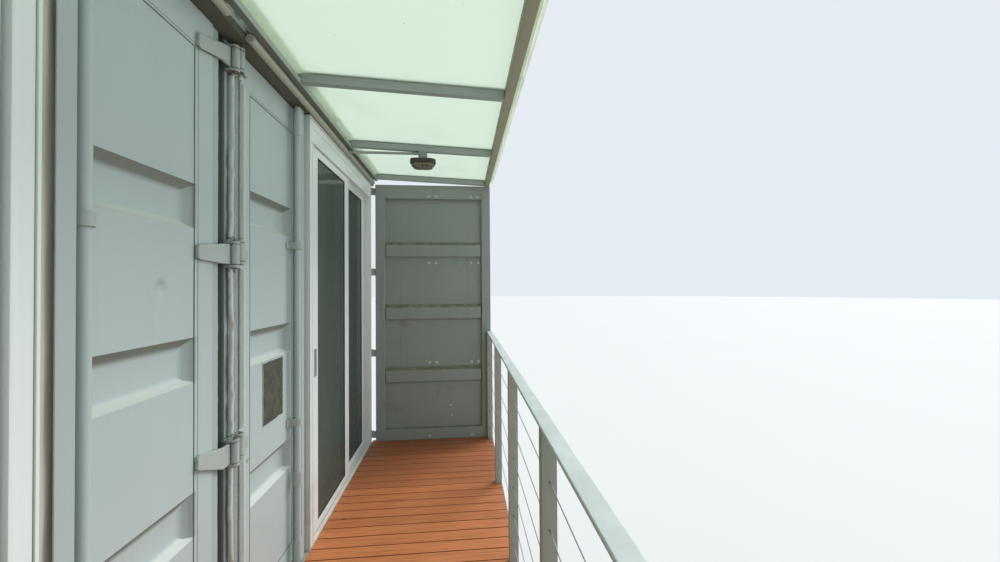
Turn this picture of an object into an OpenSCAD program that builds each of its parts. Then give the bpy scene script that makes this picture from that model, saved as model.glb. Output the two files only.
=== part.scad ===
// Two-bay shipping container cabin, raised on steel columns, with a roofed timber
// balcony along its door ends. Millimetres, +Z up, +Y towards the blind ends,
// X along the balcony. Origin at the middle of the footprint, on the ground.

/* [Container shells] */
// outside width of one container
box_w = 2438; // [2400:1:2480]
// outside length of one container
box_l = 6058; // [5000:1:7000]
// outside height of one container
box_h = 2896; // [2750:1:2950]
// space left between the two containers
box_gap = 6; // [4:1:30]
// height of the container undersides over the ground
base_z = 2250; // [1800:10:3000]
// wall sheet thickness
sheet_t = 2; // [1.6:0.1:3]
// depth of the wall corrugations
corr_d = 36; // [20:1:36]
// pitch of the wall corrugations
corr_pitch = 278; // [200:1:300]
// depth of the roof corrugations
roof_corr_d = 20; // [12:1:24]
// corner casting length, along the container
cast_l = 178; // [170:1:190]
// corner casting width
cast_w = 162; // [150:1:170]
// corner casting height
cast_h = 118; // [110:1:125]
// corner casting wall
cast_t = 14; // [10:1:20]
// plywood floor thickness
floor_t = 28; // [20:1:32]
// depth of the steel bearers under the floor
bearer_h = 122; // [100:1:130]
// height of the header over the doors
header_h = 154; // [140:1:200]
// face width of a corner post
post_face = 49; // [40:1:60]

/* [Door leaves] */
// gap under a leaf
leaf_gap = 6; // [4:1:12]
// gap over a leaf
head_clear = 6; // [4:1:12]
// width of a whole door leaf
leaf_w = 1160; // [1120:1:1180]
// thickness of the framing of a leaf
leaf_t = 45; // [42:1:60]
// thickness of the pressed skin
skin_t = 3; // [2:0.5:4]
// width of the upright members of a leaf
stile_w = 91; // [70:1:110]
// height of the top member of a leaf
top_rail_h = 136; // [100:1:150]
// height of the bottom member of a leaf
low_rail_h = 110; // [90:1:120]
// height of a pressed band
band_h = 163; // [140:1:170]
// depth of a pressed band
band_d = 36; // [20:1:38]
// height of the upper flank of a band
band_up = 37; // [20:1:45]
// height of the lower flank of a band
band_low = 23; // [14:1:30]
// width of the sloping ends of the bands of a cut leaf
band_end = 52; // [30:1:60]
// width of the sloping ends of the bands of an open leaf
band_end_s = 8; // [6:1:20]
// pitch of the bands of the first container's leaf
band_pitch_a = 558; // [500:1:600]
// pitch of the bands of the second container's leaf
band_pitch_b = 645; // [560:1:650]
// pitch of the bands of the open leaves
band_pitch_s = 636; // [560:1:640]
// how far the retained leaf of the first container stands in from the joint
edge_a = 128; // [110:1:140]
// how far the retained leaf of the second container stands in from the joint
edge_b = 54; // [54:1:70]
// width kept of the cut leaf of the first container
cut_a = 642; // [560:1:700]
// width kept of the cut leaf of the second container
cut_b = 566; // [500:1:640]
// locking rod diameter
rod_d = 32; // [27:1:36]
// hinge pin diameter
pin_d = 16; // [12:1:20]
// hinge eye diameter
eye_d = 32; // [30:1:38]

/* [Sliding doors] */
// face width of the white frame members
slide_face = 58; // [50:1:66]
// height of the white frame over a sliding door
head_face = 150; // [80:1:170]
// depth of the white frame
slide_d = 100; // [90:1:120]
// height of the bottom track
track_h = 28; // [20:1:40]
// width of the upright members of a sash
sash_face = 104; // [80:1:120]
// height of the top and bottom members of a sash
sash_rail = 50; // [40:1:70]
// how far the two sashes of a door overlap
meet = 112; // [90:1:120]
// thickness of a sash
sash_t = 34; // [28:1:38]
// glass unit thickness
glass_t = 20; // [16:1:24]
// clearance round a moving sash
sash_clear = 6; // [6:1:8]

/* [Balcony] */
// deck board width
board_w = 95; // [80:1:120]
// gap between boards
board_gap = 5; // [3:1:8]
// board thickness
board_t = 28; // [20:1:35]
// outer edge of the boards, measured out from the leaf faces
deck_reach = 1275; // [1275:5:1310]
// joist depth
joist_h = 100; // [80:5:140]
// inner face of the railing posts, out from the leaf faces
rail_in = 1222; // [1180:1:1230]
// railing post size
rail_post = 50; // [40:1:56]
// railing tube wall
rail_wall = 3; // [2:0.5:5]
// top of the hand rail over the deck
rail_top = 1090; // [1000:1:1200]
// hand rail depth
hand_h = 14; // [10:1:50]
// hand rail width
hand_w = 54; // [50:1:70]
// height of the lowest cable
cable_low = 112; // [80:1:120]
// pitch of the cables
cable_pitch = 160; // [140:1:170]
// cable diameter
cable_d = 4; // [4:0.5:8]

/* [Canopy] */
// canopy rafter depth
rafter_h = 50; // [46:1:60]
// canopy rafter width
rafter_w = 40; // [30:1:50]
// fall of the canopy from wall to outer edge
canopy_fall = 49; // [44:1:60]
// inner face of the outer canopy beam, out from the leaf faces
beam_in = 1205; // [1190:1:1240]
// distance of the two middle rafters from the joint between the containers
mid_rafter = 417; // [380:1:480]
// size of the outer canopy beam
beam_s = 50; // [40:1:55]
// canopy sheet thickness
canopy_t = 10; // [6:1:16]
// diameter of the round drip rail on the header
drip_d = 32; // [26:1:34]
// height of the drip rail over the lower edge of the header
drip_rise = 56; // [20:1:56]

/* [Steel columns] */
// column size
col = 150; // [120:5:180]
// column wall
col_wall = 8; // [5:1:12]
// balcony post size
deck_post = 100; // [80:5:120]
// base plate size of a column
plate = 300; // [260:10:320]
// base plate size of a balcony post
post_plate = 220; // [200:10:240]
// base plate thickness
plate_t = 20; // [15:1:25]
// spacing of the anchor holes of a column
anchor_pitch = 220; // [200:5:230]
// spacing of the anchor holes of a balcony post
post_pitch = 160; // [150:5:170]
// anchor hole diameter
anchor_d = 22; // [18:1:24]
// depth of the floor beams
beam_h = 200; // [160:5:250]
// width of the floor beams
beam_w = 134; // [100:1:150]
// rise of a knee brace
knee = 620; // [400:10:800]
// size of a knee brace
knee_s = 70; // [50:5:80]

/* [Hidden] */

// levels
deck_z = base_z + bearer_h + floor_t;
box_top = base_z + box_h;
leaf_z = deck_z + leaf_gap;
leaf_top = box_top - header_h - head_clear;
leaf_h = leaf_top - leaf_z;
head_z = leaf_top + head_clear;
joist_top = deck_z - board_t;
col_top = base_z - beam_h;

// plan
end_y = 65;
rear_y = box_l - end_y;
edge_over = 32;
front_out = beam_in + beam_s + edge_over;
mid_y = (rear_y - front_out) / 2;
in_x = box_gap / 2;
half_x = in_x + box_w;
hinge_x = 20;
hinge_out = 24;
screen_in = half_x - 98;
screen_y = 101;
slide_end = half_x - 131;
slide_y = -64;
lap = 1;

// colours
steel_c = [0.42, 0.44, 0.44];
paint_c = [0.62, 0.66, 0.65];
leaf_c = [0.64, 0.69, 0.68];
white_c = [0.86, 0.88, 0.86];
glass_c = [0.30, 0.36, 0.36, 0.5];
timber_c = [0.66, 0.34, 0.18];

// shared shapes

// move the building so that the middle of its footprint is the origin
module site() {
  translate([0, -mid_y, 0]) children();
}

module both() {
  children();
  mirror([1, 0, 0]) children();
}

module box(a, b) {
  translate(a) cube(b - a);
}

// extrude a profile given in Y and Z along X
module along_x(x0, x1) {
  translate([x0, 0, 0]) rotate([90, 0, 90]) linear_extrude(height = x1 - x0) children();
}

// extrude a profile given in X and Z along Y
module along_y(y0, y1) {
  translate([0, y1, 0]) rotate([90, 0, 0]) linear_extrude(height = y1 - y0) children();
}

// upright bar with its four corners taken off
module bar(a, b, c) {
  translate([0, 0, a[2]]) linear_extrude(height = b[2] - a[2]) polygon([
    [a[0] + c, a[1]], [b[0] - c, a[1]], [b[0], a[1] + c], [b[0], b[1] - c],
    [b[0] - c, b[1]], [a[0] + c, b[1]], [a[0], b[1] - c], [a[0], a[1] + c]
  ]);
}

module tube_z(x, y, z0, z1, s, t) {
  r = s / 2;
  difference() {
    bar([x - r, y - r, z0], [x + r, y + r, z1], t);
    bar([x - r + t, y - r + t, z0 - lap], [x + r - t, y + r - t, z1 + lap], t / 2);
  }
}

// round-ended hole or bar of length l and width w, along Z
module slot_z(l, w, h) {
  for (i = [-1, 1]) translate([i * (l - w) / 2, 0, 0]) cylinder(h = h, d = w, $fn = 32);
  translate([-(l - w) / 2, -w / 2, 0]) cube([l - w, w, h]);
}

module i_profile(w, h, tf, tw) {
  polygon([
    [-w / 2, 0], [w / 2, 0], [w / 2, tf], [tw / 2, tf], [tw / 2, h - tf], [w / 2, h - tf],
    [w / 2, h], [-w / 2, h], [-w / 2, h - tf], [-tw / 2, h - tf], [-tw / 2, tf], [-w / 2, tf]
  ]);
}

// channel with its back at x = 0 and its flanges towards +x
module c_profile(w, h, t) {
  polygon([[0, 0], [w, 0], [w, t], [t, t], [t, h - t], [w, h - t], [w, h], [0, h]]);
}

// steelwork under the cabin
col_x = half_x - plate / 2;
col_ys = [plate / 2 - end_y, rear_y - plate / 2];
deck_post_x = half_x - post_plate / 2;
deck_post_y = -front_out + post_plate / 2;
deck_post_top = joist_top - joist_h;

module base_plate(x, y, p, pitch) {
  difference() {
    box([x - p / 2, y - p / 2, 0], [x + p / 2, y + p / 2, plate_t]);
    for (i = [-1, 1]) {
      for (j = [-1, 1]) {
        translate([x + i * pitch / 2, y + j * pitch / 2, -lap])
          cylinder(h = plate_t + 2 * lap, d = anchor_d, $fn = 48);
      }
    }
  }
}

module base_plates() {
  color(steel_c) site() {
    for (x = [-col_x, 0, col_x], y = col_ys) base_plate(x, y, plate, anchor_pitch);
    for (x = [-deck_post_x, 0, deck_post_x]) base_plate(x, deck_post_y, post_plate, post_pitch);
  }
}

module support_columns() {
  color(steel_c) site() {
    for (x = [-col_x, 0, col_x], y = col_ys) tube_z(x, y, plate_t, col_top, col, col_wall);
    for (x = [-deck_post_x, 0, deck_post_x]) {
      tube_z(x, deck_post_y, plate_t, deck_post_top, deck_post, rail_wall + 2);
    }
  }
}

module cross_beams() {
  color(steel_c) site() {
    for (y = col_ys) {
      translate([0, y, col_top]) along_x(-half_x, half_x) i_profile(beam_w, beam_h, 10, 8);
    }
  }
}

module long_beams() {
  color(steel_c) site() {
    for (x = [-col_x, 0, col_x]) {
      translate([x, 0, col_top]) along_y(col_ys[0] + beam_w / 2, col_ys[1] - beam_w / 2)
        i_profile(beam_w, beam_h, 10, 8);
    }
  }
}

module knee_shape() {
  polygon([[0, -knee], [0, -knee - 1.4 * knee_s], [knee + 1.4 * knee_s, 0], [knee, 0]]);
}

module knee_braces() {
  c = col / 2;
  k = knee_s / 2;
  color(steel_c) site() {
    for (y = col_ys) both() {
      translate([c, y, col_top]) along_y(-k, k) knee_shape();
      translate([col_x - c, y, col_top]) mirror([1, 0, 0]) along_y(-k, k) knee_shape();
    }
    for (x = [-col_x, 0, col_x]) {
      translate([x, col_ys[0] + c, col_top]) along_x(-k, k) knee_shape();
      translate([x, col_ys[1] - c, col_top]) mirror([0, 1, 0]) along_x(-k, k) knee_shape();
    }
  }
}

// balcony floor
deck_in = end_y;
edge_w = 50;

module deck_frame() {
  n = 8;
  z = joist_top - joist_h;
  y0 = 3 - deck_reach;
  y1 = -deck_in;
  color(steel_c) site() {
    translate([0, y0, z]) along_x(-half_x, half_x) c_profile(edge_w, joist_h, 6);
    translate([0, y1, z]) along_x(-half_x, half_x) mirror([1, 0, 0]) c_profile(edge_w, joist_h, 6);
    for (i = [0 : n]) {
      x = (i / n - 0.5) * 2 * (half_x - 25);
      box([x - 25, y0 + 6 - lap, z], [x + 25, y1 - 6 + lap, joist_top]);
    }
    for (k = [1, 2]) {
      y = y0 + (y1 - y0) * k / 3;
      box([-half_x + 1, y - 25, z + 30], [half_x - 1, y + 25, joist_top]);
    }
  }
}

module deck_boards() {
  pitch = board_w + board_gap;
  n = floor((2 * half_x + board_gap) / pitch);
  start = (board_gap - n * pitch) / 2;
  color(timber_c) site() {
    for (i = [0 : n - 1]) {
      x = start + i * pitch;
      box([x, -deck_reach, joist_top], [x + board_w, -deck_in, deck_z]);
    }
  }
}

// container shells: each module draws the container at +X, and both() repeats it
module one_casting(sx, sy, sz) {
  x = sx > 0 ? half_x - cast_w / 2 : in_x + cast_w / 2;
  y = sy > 0 ? rear_y - cast_l / 2 : cast_l / 2 - end_y;
  z = sz > 0 ? box_top - cast_h : base_z;
  w = cast_w / 2;
  l = cast_l / 2;
  translate([x, y, z]) difference() {
    box([-w, -l, 0], [w, l, cast_h]);
    box([cast_t - w, cast_t - l, cast_t], [w - cast_t, l - cast_t, cast_h - cast_t]);
    translate([0, sy * l, cast_h / 2]) rotate([90, 0, 0]) translate([0, 0, -l / 2])
      rotate([0, 0, 90]) slot_z(79, 51, l);
    translate([sx * w, 0, cast_h / 2]) rotate([0, 90, 0]) translate([0, 0, -w / 2])
      rotate([0, 0, 90]) slot_z(79, 51, w);
    translate([0, 0, sz > 0 ? cast_h - 2 * cast_t : -lap]) rotate([0, 0, 90])
      slot_z(124, 63, 2 * cast_t + lap);
  }
}

module corner_castings() {
  color(paint_c) site() both() {
    for (sx = [-1, 1], sy = [-1, 1], sz = [-1, 1]) one_casting(sx, sy, sz);
  }
}

post_z0 = base_z + cast_h;
post_z1 = box_top - cast_h;
post_y = 14;
post_back = cast_l - end_y;
rear_post = cast_w;

// door post: a face strip in front and a return that the leaf closes on behind it
module door_post(w) {
  translate([0, 0, post_z0]) linear_extrude(height = post_z1 - post_z0) polygon([
    [0, post_y], [w, post_y], [w, post_y + 34], [w + 24, post_y + 34], [w + 24, post_back], [0, post_back]
  ]);
}

// post next to the joint, with a deep channel between its flange and the leaf
flange_w = 25;
channel_y = 70;

module joint_post(w) {
  translate([0, 0, post_z0]) linear_extrude(height = post_z1 - post_z0) polygon([
    [0, post_y], [flange_w, post_y], [flange_w, channel_y], [w, channel_y], [w, post_back], [0, post_back]
  ]);
}

module corner_posts() {
  color(paint_c) site() {
    both() translate([half_x, 0, 0]) mirror([1, 0, 0]) door_post(post_face);
    translate([in_x, 0, 0]) door_post(post_face);
    translate([-in_x, 0, 0]) mirror([1, 0, 0]) joint_post(edge_a - in_x - 14);
    both() {
      box([in_x, rear_y - cast_l, post_z0], [in_x + rear_post, rear_y, post_z1]);
      box([half_x - rear_post, rear_y - cast_l, post_z0], [half_x, rear_y, post_z1]);
    }
  }
}

rail_y0 = cast_l - end_y;
rail_y1 = rear_y - cast_l;
top_rail_s = 60;
bottom_h = bearer_h + floor_t + 8;

module top_rails() {
  color(paint_c) site() both() {
    for (x0 = [in_x, half_x - top_rail_s]) {
      box([x0, rail_y0, post_z1], [x0 + top_rail_s, rail_y1, box_top - 4]);
    }
  }
}

module bottom_rails() {
  color(paint_c) site() both() {
    translate([half_x - 5, 0, base_z + 4]) along_y(rail_y0, rail_y1) mirror([1, 0, 0])
      c_profile(38, bottom_h, 5);
    translate([in_x + 5, 0, base_z + 4]) along_y(rail_y0, rail_y1) c_profile(38, bottom_h, 5);
  }
}

cast_x0 = in_x + cast_w;
cast_x1 = half_x - cast_w;

module door_headers() {
  color(paint_c) site() both() {
    box([in_x, -end_y, head_z], [half_x, post_y, post_z1]);
    box([edge_a - 8, post_y - lap, head_z], [half_x - post_face - 25, 60, post_z1]);
    box([cast_x0, -end_y, post_z1 - lap], [cast_x1, 60, box_top - 4]);
  }
}

module door_sills() {
  color(paint_c) site() both() {
    box([cast_x0, -end_y, base_z + 8], [cast_x1, post_back - 12, deck_z]);
  }
}

module rear_rails() {
  color(paint_c) site() both() {
    box([cast_x0, rear_y - 60, post_z1], [cast_x1, rear_y - 4, box_top - 4]);
    box([cast_x0, rear_y - 60, base_z + 8], [cast_x1, rear_y - 4, base_z + 4 + bottom_h]);
  }
}

module floor_bearers() {
  n = 16;
  step = (rail_y1 - rail_y0 - 100) / n;
  color([0.40, 0.41, 0.41]) site() both() {
    for (i = [0 : n]) {
      translate([0, rail_y0 + 28 + i * step, base_z + 9]) along_x(in_x + 43, half_x - 43)
        c_profile(45, bearer_h - 9, 5);
    }
  }
}

module floor_panels() {
  color([0.50, 0.40, 0.30]) site() both() {
    box([in_x + 43, post_back, base_z + bearer_h], [half_x - 43, rail_y1, deck_z]);
    box([cast_x0, rail_y1 - lap, base_z + bearer_h], [cast_x1, rear_y - 61, deck_z]);
  }
}

wall_z0 = base_z + 4 + bottom_h;
wall_z1 = post_z1;
wall_in = 10;

// corners of one corrugation, as shares of the pitch
wave = [0.13, 0.37, 0.63, 0.87];

function wave_line(n, p, d, off) = [
  for (i = [0 : n - 1], k = [0 : 3]) [(k == 1 || k == 2 ? d : 0) + off, (i + wave[k]) * p]
];

function turned(a) = [for (i = [len(a) - 1 : -1 : 0]) a[i]];

// corrugated sheet in plan, running along +Y, outer face at x = 0
module corr_sheet(run, goal, d, t) {
  n = round(run / goal);
  p = run / n;
  front = wave_line(n, p, d - t, 0);
  back = wave_line(n, p, d - t, t);
  polygon(concat([[0, 0]], front, [[0, run], [t, run]], turned(back), [[t, 0]]));
}

module side_walls() {
  run = rail_y1 - post_back;
  color(paint_c) site() both() {
    translate([in_x + wall_in, post_back, wall_z0]) linear_extrude(height = wall_z1 - wall_z0)
      corr_sheet(run, corr_pitch, corr_d, sheet_t);
    translate([half_x - wall_in, post_back, wall_z0]) linear_extrude(height = wall_z1 - wall_z0)
      mirror([1, 0, 0]) corr_sheet(run, corr_pitch, corr_d, sheet_t);
  }
}

module rear_walls() {
  x0 = in_x + rear_post;
  x1 = half_x - rear_post;
  color(paint_c) site() both() {
    translate([x0, rear_y - wall_in, wall_z0]) rotate([0, 0, -90])
      linear_extrude(height = wall_z1 - wall_z0)
        corr_sheet(x1 - x0, 240, corr_d, sheet_t);
  }
}

module roof_panels() {
  n = 22;
  y0 = rail_y0;
  y1 = rail_y1;
  top = box_top - 8;
  p = (y1 - y0) / n;
  rise = [0, roof_corr_d - sheet_t, roof_corr_d - sheet_t, 0];
  pts = [for (i = [0 : n - 1], k = [0 : 3]) [y0 + (i + [0.1, 0.25, 0.55, 0.7][k]) * p, -rise[k]]];
  low = [for (q = turned(pts)) q - [0, sheet_t]];
  color(paint_c) site() both() {
    translate([0, 0, top]) along_x(in_x + top_rail_s + lap, half_x - top_rail_s - lap)
      polygon(concat([[y0, 0]], pts, [[y1, 0], [y1, -sheet_t]], low, [[y0, -sheet_t]]));
    box([cast_x0, 61, top - sheet_t], [cast_x1, y0 + lap, top]);
    box([cast_x0, y1 - lap, top - sheet_t], [cast_x1, rear_y - 61, top]);
  }
}

// door leaves: hinge edge at x = 0, outer face at y = 0, framing towards +Y, foot at z = 0

skin_y = 2;

function bands_of(pitch, low) = [
  for (i = [0 : floor((leaf_h - top_rail_h - band_h - low - 150) / pitch)]) low + i * pitch
];

// height of the lowest band over the foot of its leaf
low_a = 649;
low_b = 542;
low_s = 567;
bands_a = bands_of(band_pitch_a, low_a);
bands_b = bands_of(band_pitch_b, low_b);
bands_s = bands_of(band_pitch_s, low_s);

// pressed band with four sloping flanks, its mouth in the plane y = 0
module band_form(x0, x1, z0, z1, d, end) {
  up = band_up * d / band_d;
  low = band_low * d / band_d;
  f = end * d / band_d;
  intersection() {
    along_x(x0, x1) polygon([[0, z0], [d, z0 + low], [d, z1 - up], [0, z1]]);
    translate([0, 0, z0]) linear_extrude(height = z1 - z0)
      polygon([[x0, 0], [x1, 0], [x1 - f, d], [x0 + f, d]]);
  }
}

// room between the outside and the inside of a band, at its ends
end_wall = 6;

module leaf_skin(x0, x1, zs, end) {
  d = band_d - skin_y;
  translate([0, skin_y, 0]) difference() {
    union() {
      box([x0, 0, low_rail_h - 6], [x1, skin_t, leaf_h - top_rail_h + 6]);
      for (z = zs) band_form(x0 + 2, x1 - 2, z - skin_t, z + band_h + skin_t, d, end);
    }
    for (z = zs) translate([0, -touch, 0])
      band_form(x0 + 2 + end_wall, x1 - 2 - end_wall, z, z + band_h, d - skin_t, end);
  }
}

module leaf(w, zs, free, end) {
  c = 4;
  bar([0, 0, 0], [stile_w, leaf_t, leaf_h], c);
  bar([w - free, 0, 0], [w, leaf_t, leaf_h], min(c, free / 4));
  for (z = [[0, low_rail_h], [leaf_h - top_rail_h, leaf_h]]) {
    box([stile_w - c - lap, 0, z[0]], [w - free + c + lap, leaf_t, z[1]]);
  }
  leaf_skin(stile_w - lap, w - free + lap, zs, end);
}

cut_edge = 28;

module cut_leaf_a() {
  color(leaf_c) site() mirror([1, 0, 0]) translate([edge_a, 0, leaf_z])
    leaf(cut_a, bands_a, cut_edge, band_end);
}

module cut_leaf_b() {
  color(leaf_c) site() translate([edge_b, 0, leaf_z]) leaf(cut_b, bands_b, cut_edge, band_end);
}

// put a closed leaf's hardware where the leaf stands when open by a quarter turn,
// at both ends of the balcony: leaf x runs out along -Y, the outer face looks outwards
module opened() {
  both() translate([screen_in + leaf_t, -screen_y, 0]) rotate([0, 0, -90]) mirror([0, 1, 0]) children();
}

module end_screens() {
  color([0.52, 0.55, 0.52]) site() opened() translate([0, 0, leaf_z])
    leaf(leaf_w, bands_s, stile_w, band_end_s);
}

// gap between faces that touch
touch = 0.01;

// hinges
hinges_a = [140, 872, 1693, leaf_h - 65];
hinges_b = [for (i = [0 : 3]) 62 + i * (leaf_h - 112) / 3];
blade_h = 84;
blade_small = 78;
blade_t = 14;
blade_a = 245;
blade_b = 85;
blade_drop = 34;
pin_clear = 0.5;
lug_t = 12;
// half the room that a pair of lugs takes, along X and Z
lug_x = eye_d / 2 + 1;
lug_z = blade_h / 2 + lug_t + 3;

gasket_t = 12;
// painted cover over the joint between the containers, in lengths between the hinges
cover_x0 = -28;
cover_x1 = 31;
cover_out = 10;

module door_gaskets() {
  color([0.60, 0.63, 0.60]) site() {
    box([-edge_a + lap, 6, leaf_z], [-edge_a + 37, 6 + gasket_t, leaf_top]);
    difference() {
      box([cover_x1 + lap, 1, leaf_z], [edge_b - lap, 1 + gasket_t, leaf_top]);
      at_hinges_b() box([-lug_x, 0, -lug_z], [lug_x, hinge_out + post_y + lap, lug_z]);
    }
    for (i = [0 : 2]) {
      z0 = deck_z + max(hinges_a[i], hinges_b[i]) + lug_z;
      z1 = deck_z + min(hinges_a[i + 1], hinges_b[i + 1]) - lug_z;
      box([cover_x0, -cover_out, z0], [cover_x1, post_y - touch, z1]);
    }
  }
}

function arc(x, z, r, a) = [for (k = [0 : 4]) [x + r * cos(a + k * 22.5), z + r * sin(a + k * 22.5)]];

// forged blade: eye round the pin at the origin, arm along +x with its back in the plane y = back;
// the arm narrows and drops towards its rounded tip
module blade(arm, h, back) {
  tip = h * 0.34;
  r = tip * 0.5;
  drop = blade_drop * arm / blade_a;
  difference() {
    union() {
      translate([0, back - touch, 0]) rotate([90, 0, 0]) linear_extrude(height = blade_t)
        polygon(concat(
          [[0, 10 - h / 2], [arm * 0.3, -h / 2]], arc(arm - r, r - tip - drop, r, -90),
          arc(arm - r, tip - r - drop, r, 0), [[arm * 0.25, h / 2 - drop / 4], [0, h / 2]]
        ));
      translate([0, 0, -h / 2]) cylinder(h = h, d = eye_d, $fn = 48);
    }
    translate([0, 0, -h / 2 - lap]) cylinder(h = h + 2 * lap, d = pin_d + 2 * pin_clear, $fn = 48);
  }
}

module at_hinges_a() {
  for (z = hinges_a) mirror([1, 0, 0]) translate([hinge_x, -hinge_out, deck_z + z]) children();
}

module at_hinges_b() {
  for (z = hinges_b) translate([hinge_x, -hinge_out, deck_z + z]) children();
}

module at_screen_hinges() {
  for (z = hinges_b) both() translate([half_x - hinge_x, -hinge_out, deck_z + z]) children();
}

module hinge_blades() {
  color([0.58, 0.60, 0.58]) site() {
    at_hinges_a() blade(blade_a, blade_h, hinge_out);
    at_hinges_b() blade(blade_b, blade_small, hinge_out);
    at_screen_hinges() rotate([0, 0, -90]) mirror([0, 1, 0])
      blade(blade_a, blade_small, half_x - hinge_x - screen_in - leaf_t);
  }
}

module lug_pair(h) {
  for (s = [-1, 1]) {
    translate([0, 0, s * (h / 2 + 2 + lug_t / 2) - lug_t / 2]) difference() {
      union() {
        cylinder(h = lug_t, d = eye_d, $fn = 48);
        box([-eye_d / 2, 0, 0], [eye_d / 2, hinge_out + post_y, lug_t]);
      }
      translate([0, 0, -lap]) cylinder(h = lug_t + 2 * lap, d = pin_d + 2 * pin_clear, $fn = 48);
    }
  }
}

module hinge_lugs() {
  color([0.58, 0.60, 0.58]) site() {
    at_hinges_a() lug_pair(blade_h);
    at_hinges_b() lug_pair(blade_small);
    at_screen_hinges() lug_pair(blade_small);
  }
}

module pin(h) {
  l = h + 2 * lug_t + 12;
  translate([0, 0, -l / 2]) cylinder(h = l, d = pin_d, $fn = 48);
}

module hinge_pins() {
  color([0.40, 0.38, 0.36]) site() {
    at_hinges_a() pin(blade_h);
    at_hinges_b() pin(blade_small);
    at_screen_hinges() pin(blade_small);
  }
}

// locking rods and their fittings
rod_a_x = -(edge_a + cut_a - 56);
rod_b_x = edge_b + cut_b - 46;
rod_out = 42;
screen_rods = [569, 997];
sleeve_d = rod_d + 10;
rod_low = 30;
rod_high = leaf_h - 6;
straps_a = [150, 835, 1727, leaf_h - 190];
straps_b = [802, 1787];
straps_s = [152, 802, 1787, leaf_h - 178];
strap_h = 40;
low_sleeve = 152;
high_sleeve = leaf_h - 164;
plate_back = 6;

module at_rod_a() {
  translate([rod_a_x, -rod_out, deck_z]) mirror([1, 0, 0]) children();
}

module at_rod_b() {
  translate([rod_b_x, -rod_out, deck_z]) children();
}

module at_screen_rods() {
  for (u = screen_rods) both() translate([screen_in + leaf_t + rod_out, -screen_y - u, deck_z])
    rotate([0, 0, 90]) children();
}

module lock_rods() {
  color(paint_c) site() {
    at_rod_a() translate([0, 0, rod_low]) cylinder(h = rod_high - rod_low, d = rod_d, $fn = 48);
    at_rod_b() translate([0, 0, rod_low]) cylinder(h = rod_high - rod_low, d = rod_d, $fn = 48);
    at_screen_rods() translate([0, 0, rod_low]) cylinder(h = rod_high - rod_low, d = rod_d, $fn = 48);
  }
}

module sleeve(z0, z1) {
  translate([0, 0, z0]) difference() {
    cylinder(h = z1 - z0, d = sleeve_d, $fn = 48);
    translate([0, 0, -lap]) cylinder(h = z1 - z0 + 2 * lap, d = rod_d + 1, $fn = 48);
  }
}

module rod_sleeves() {
  color(paint_c) site() {
    at_rod_a() sleeve(rod_low + 4, straps_a[0] - strap_h / 2 - lap);
    at_rod_a() sleeve(straps_a[3] + strap_h / 2 + lap, rod_high - 30);
    at_rod_b() sleeve(rod_low + 4, low_sleeve);
    at_rod_b() sleeve(high_sleeve, rod_high - 30);
    at_screen_rods() sleeve(rod_low + 4, straps_s[0] - strap_h / 2 - lap);
    at_screen_rods() sleeve(straps_s[3] + strap_h / 2 + lap, rod_high - 30);
  }
}

// strap over the rod, with a flange each side on the leaf face behind it
module strap(z) {
  h = strap_h;
  r = rod_d / 2 + 1;
  t = 5;
  translate([0, 0, z - h / 2]) {
    difference() {
      union() {
        cylinder(h = h, r = r + t, $fn = 48);
        box([-r - t, 0, 0], [r + t, rod_out, h]);
        box([-r - 34, rod_out - plate_back, 0], [r + 20, rod_out, h]);
      }
      translate([0, 0, -lap]) cylinder(h = h + 2 * lap, r = r, $fn = 48);
      box([-r, 0, -lap], [r, rod_out - plate_back, h + lap]);
    }
  }
}

module rod_brackets() {
  color([0.60, 0.63, 0.62]) site() {
    at_rod_a() for (z = straps_a) strap(z);
    at_rod_b() for (z = straps_b) strap(z);
    at_screen_rods() for (z = straps_s) strap(z);
  }
}

handle_z = 1120;
handle_l = 420;
stub_z = 446;
stub_h = 75;

module rod_handles() {
  h = 60;
  color([0.60, 0.63, 0.62]) site() {
    for (s = [-1, 1]) {
      for (i = [0, 1]) {
        mirror([s < 0 ? 1 : 0, 0, 0])
          translate([screen_in + leaf_t + rod_out, -screen_y - screen_rods[i], deck_z + handle_z + i * 90]) {
            difference() {
              cylinder(h = h, d = rod_d + 22, $fn = 48);
              translate([0, 0, -lap]) cylinder(h = h + 2 * lap, d = rod_d + 1, $fn = 48);
            }
            box([rod_d / 2 + 3, i == 0 ? -handle_l : 0, 20], [rod_d / 2 + 13, i == 0 ? 0 : handle_l, 48]);
          }
      }
    }
    at_rod_b() translate([0, 0, stub_z]) difference() {
      cylinder(h = stub_h, d = rod_d + 16, $fn = 48);
      translate([0, 0, -lap]) cylinder(h = stub_h + 2 * lap, d = rod_d + 1, $fn = 48);
    }
  }
}

plate_x = 266;
plate_z = 875;
plate_w = 219;
plate_h = 310;

module leaf_plate() {
  color([0.25, 0.25, 0.20]) site()
    box([plate_x, 0.4, deck_z + plate_z], [plate_x + plate_w, skin_y, deck_z + plate_z + plate_h]);
}

trim_d = 64;
trim_b = 44;
trim_t = 4;
trim_in = 14;
seam_w = 70;

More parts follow.
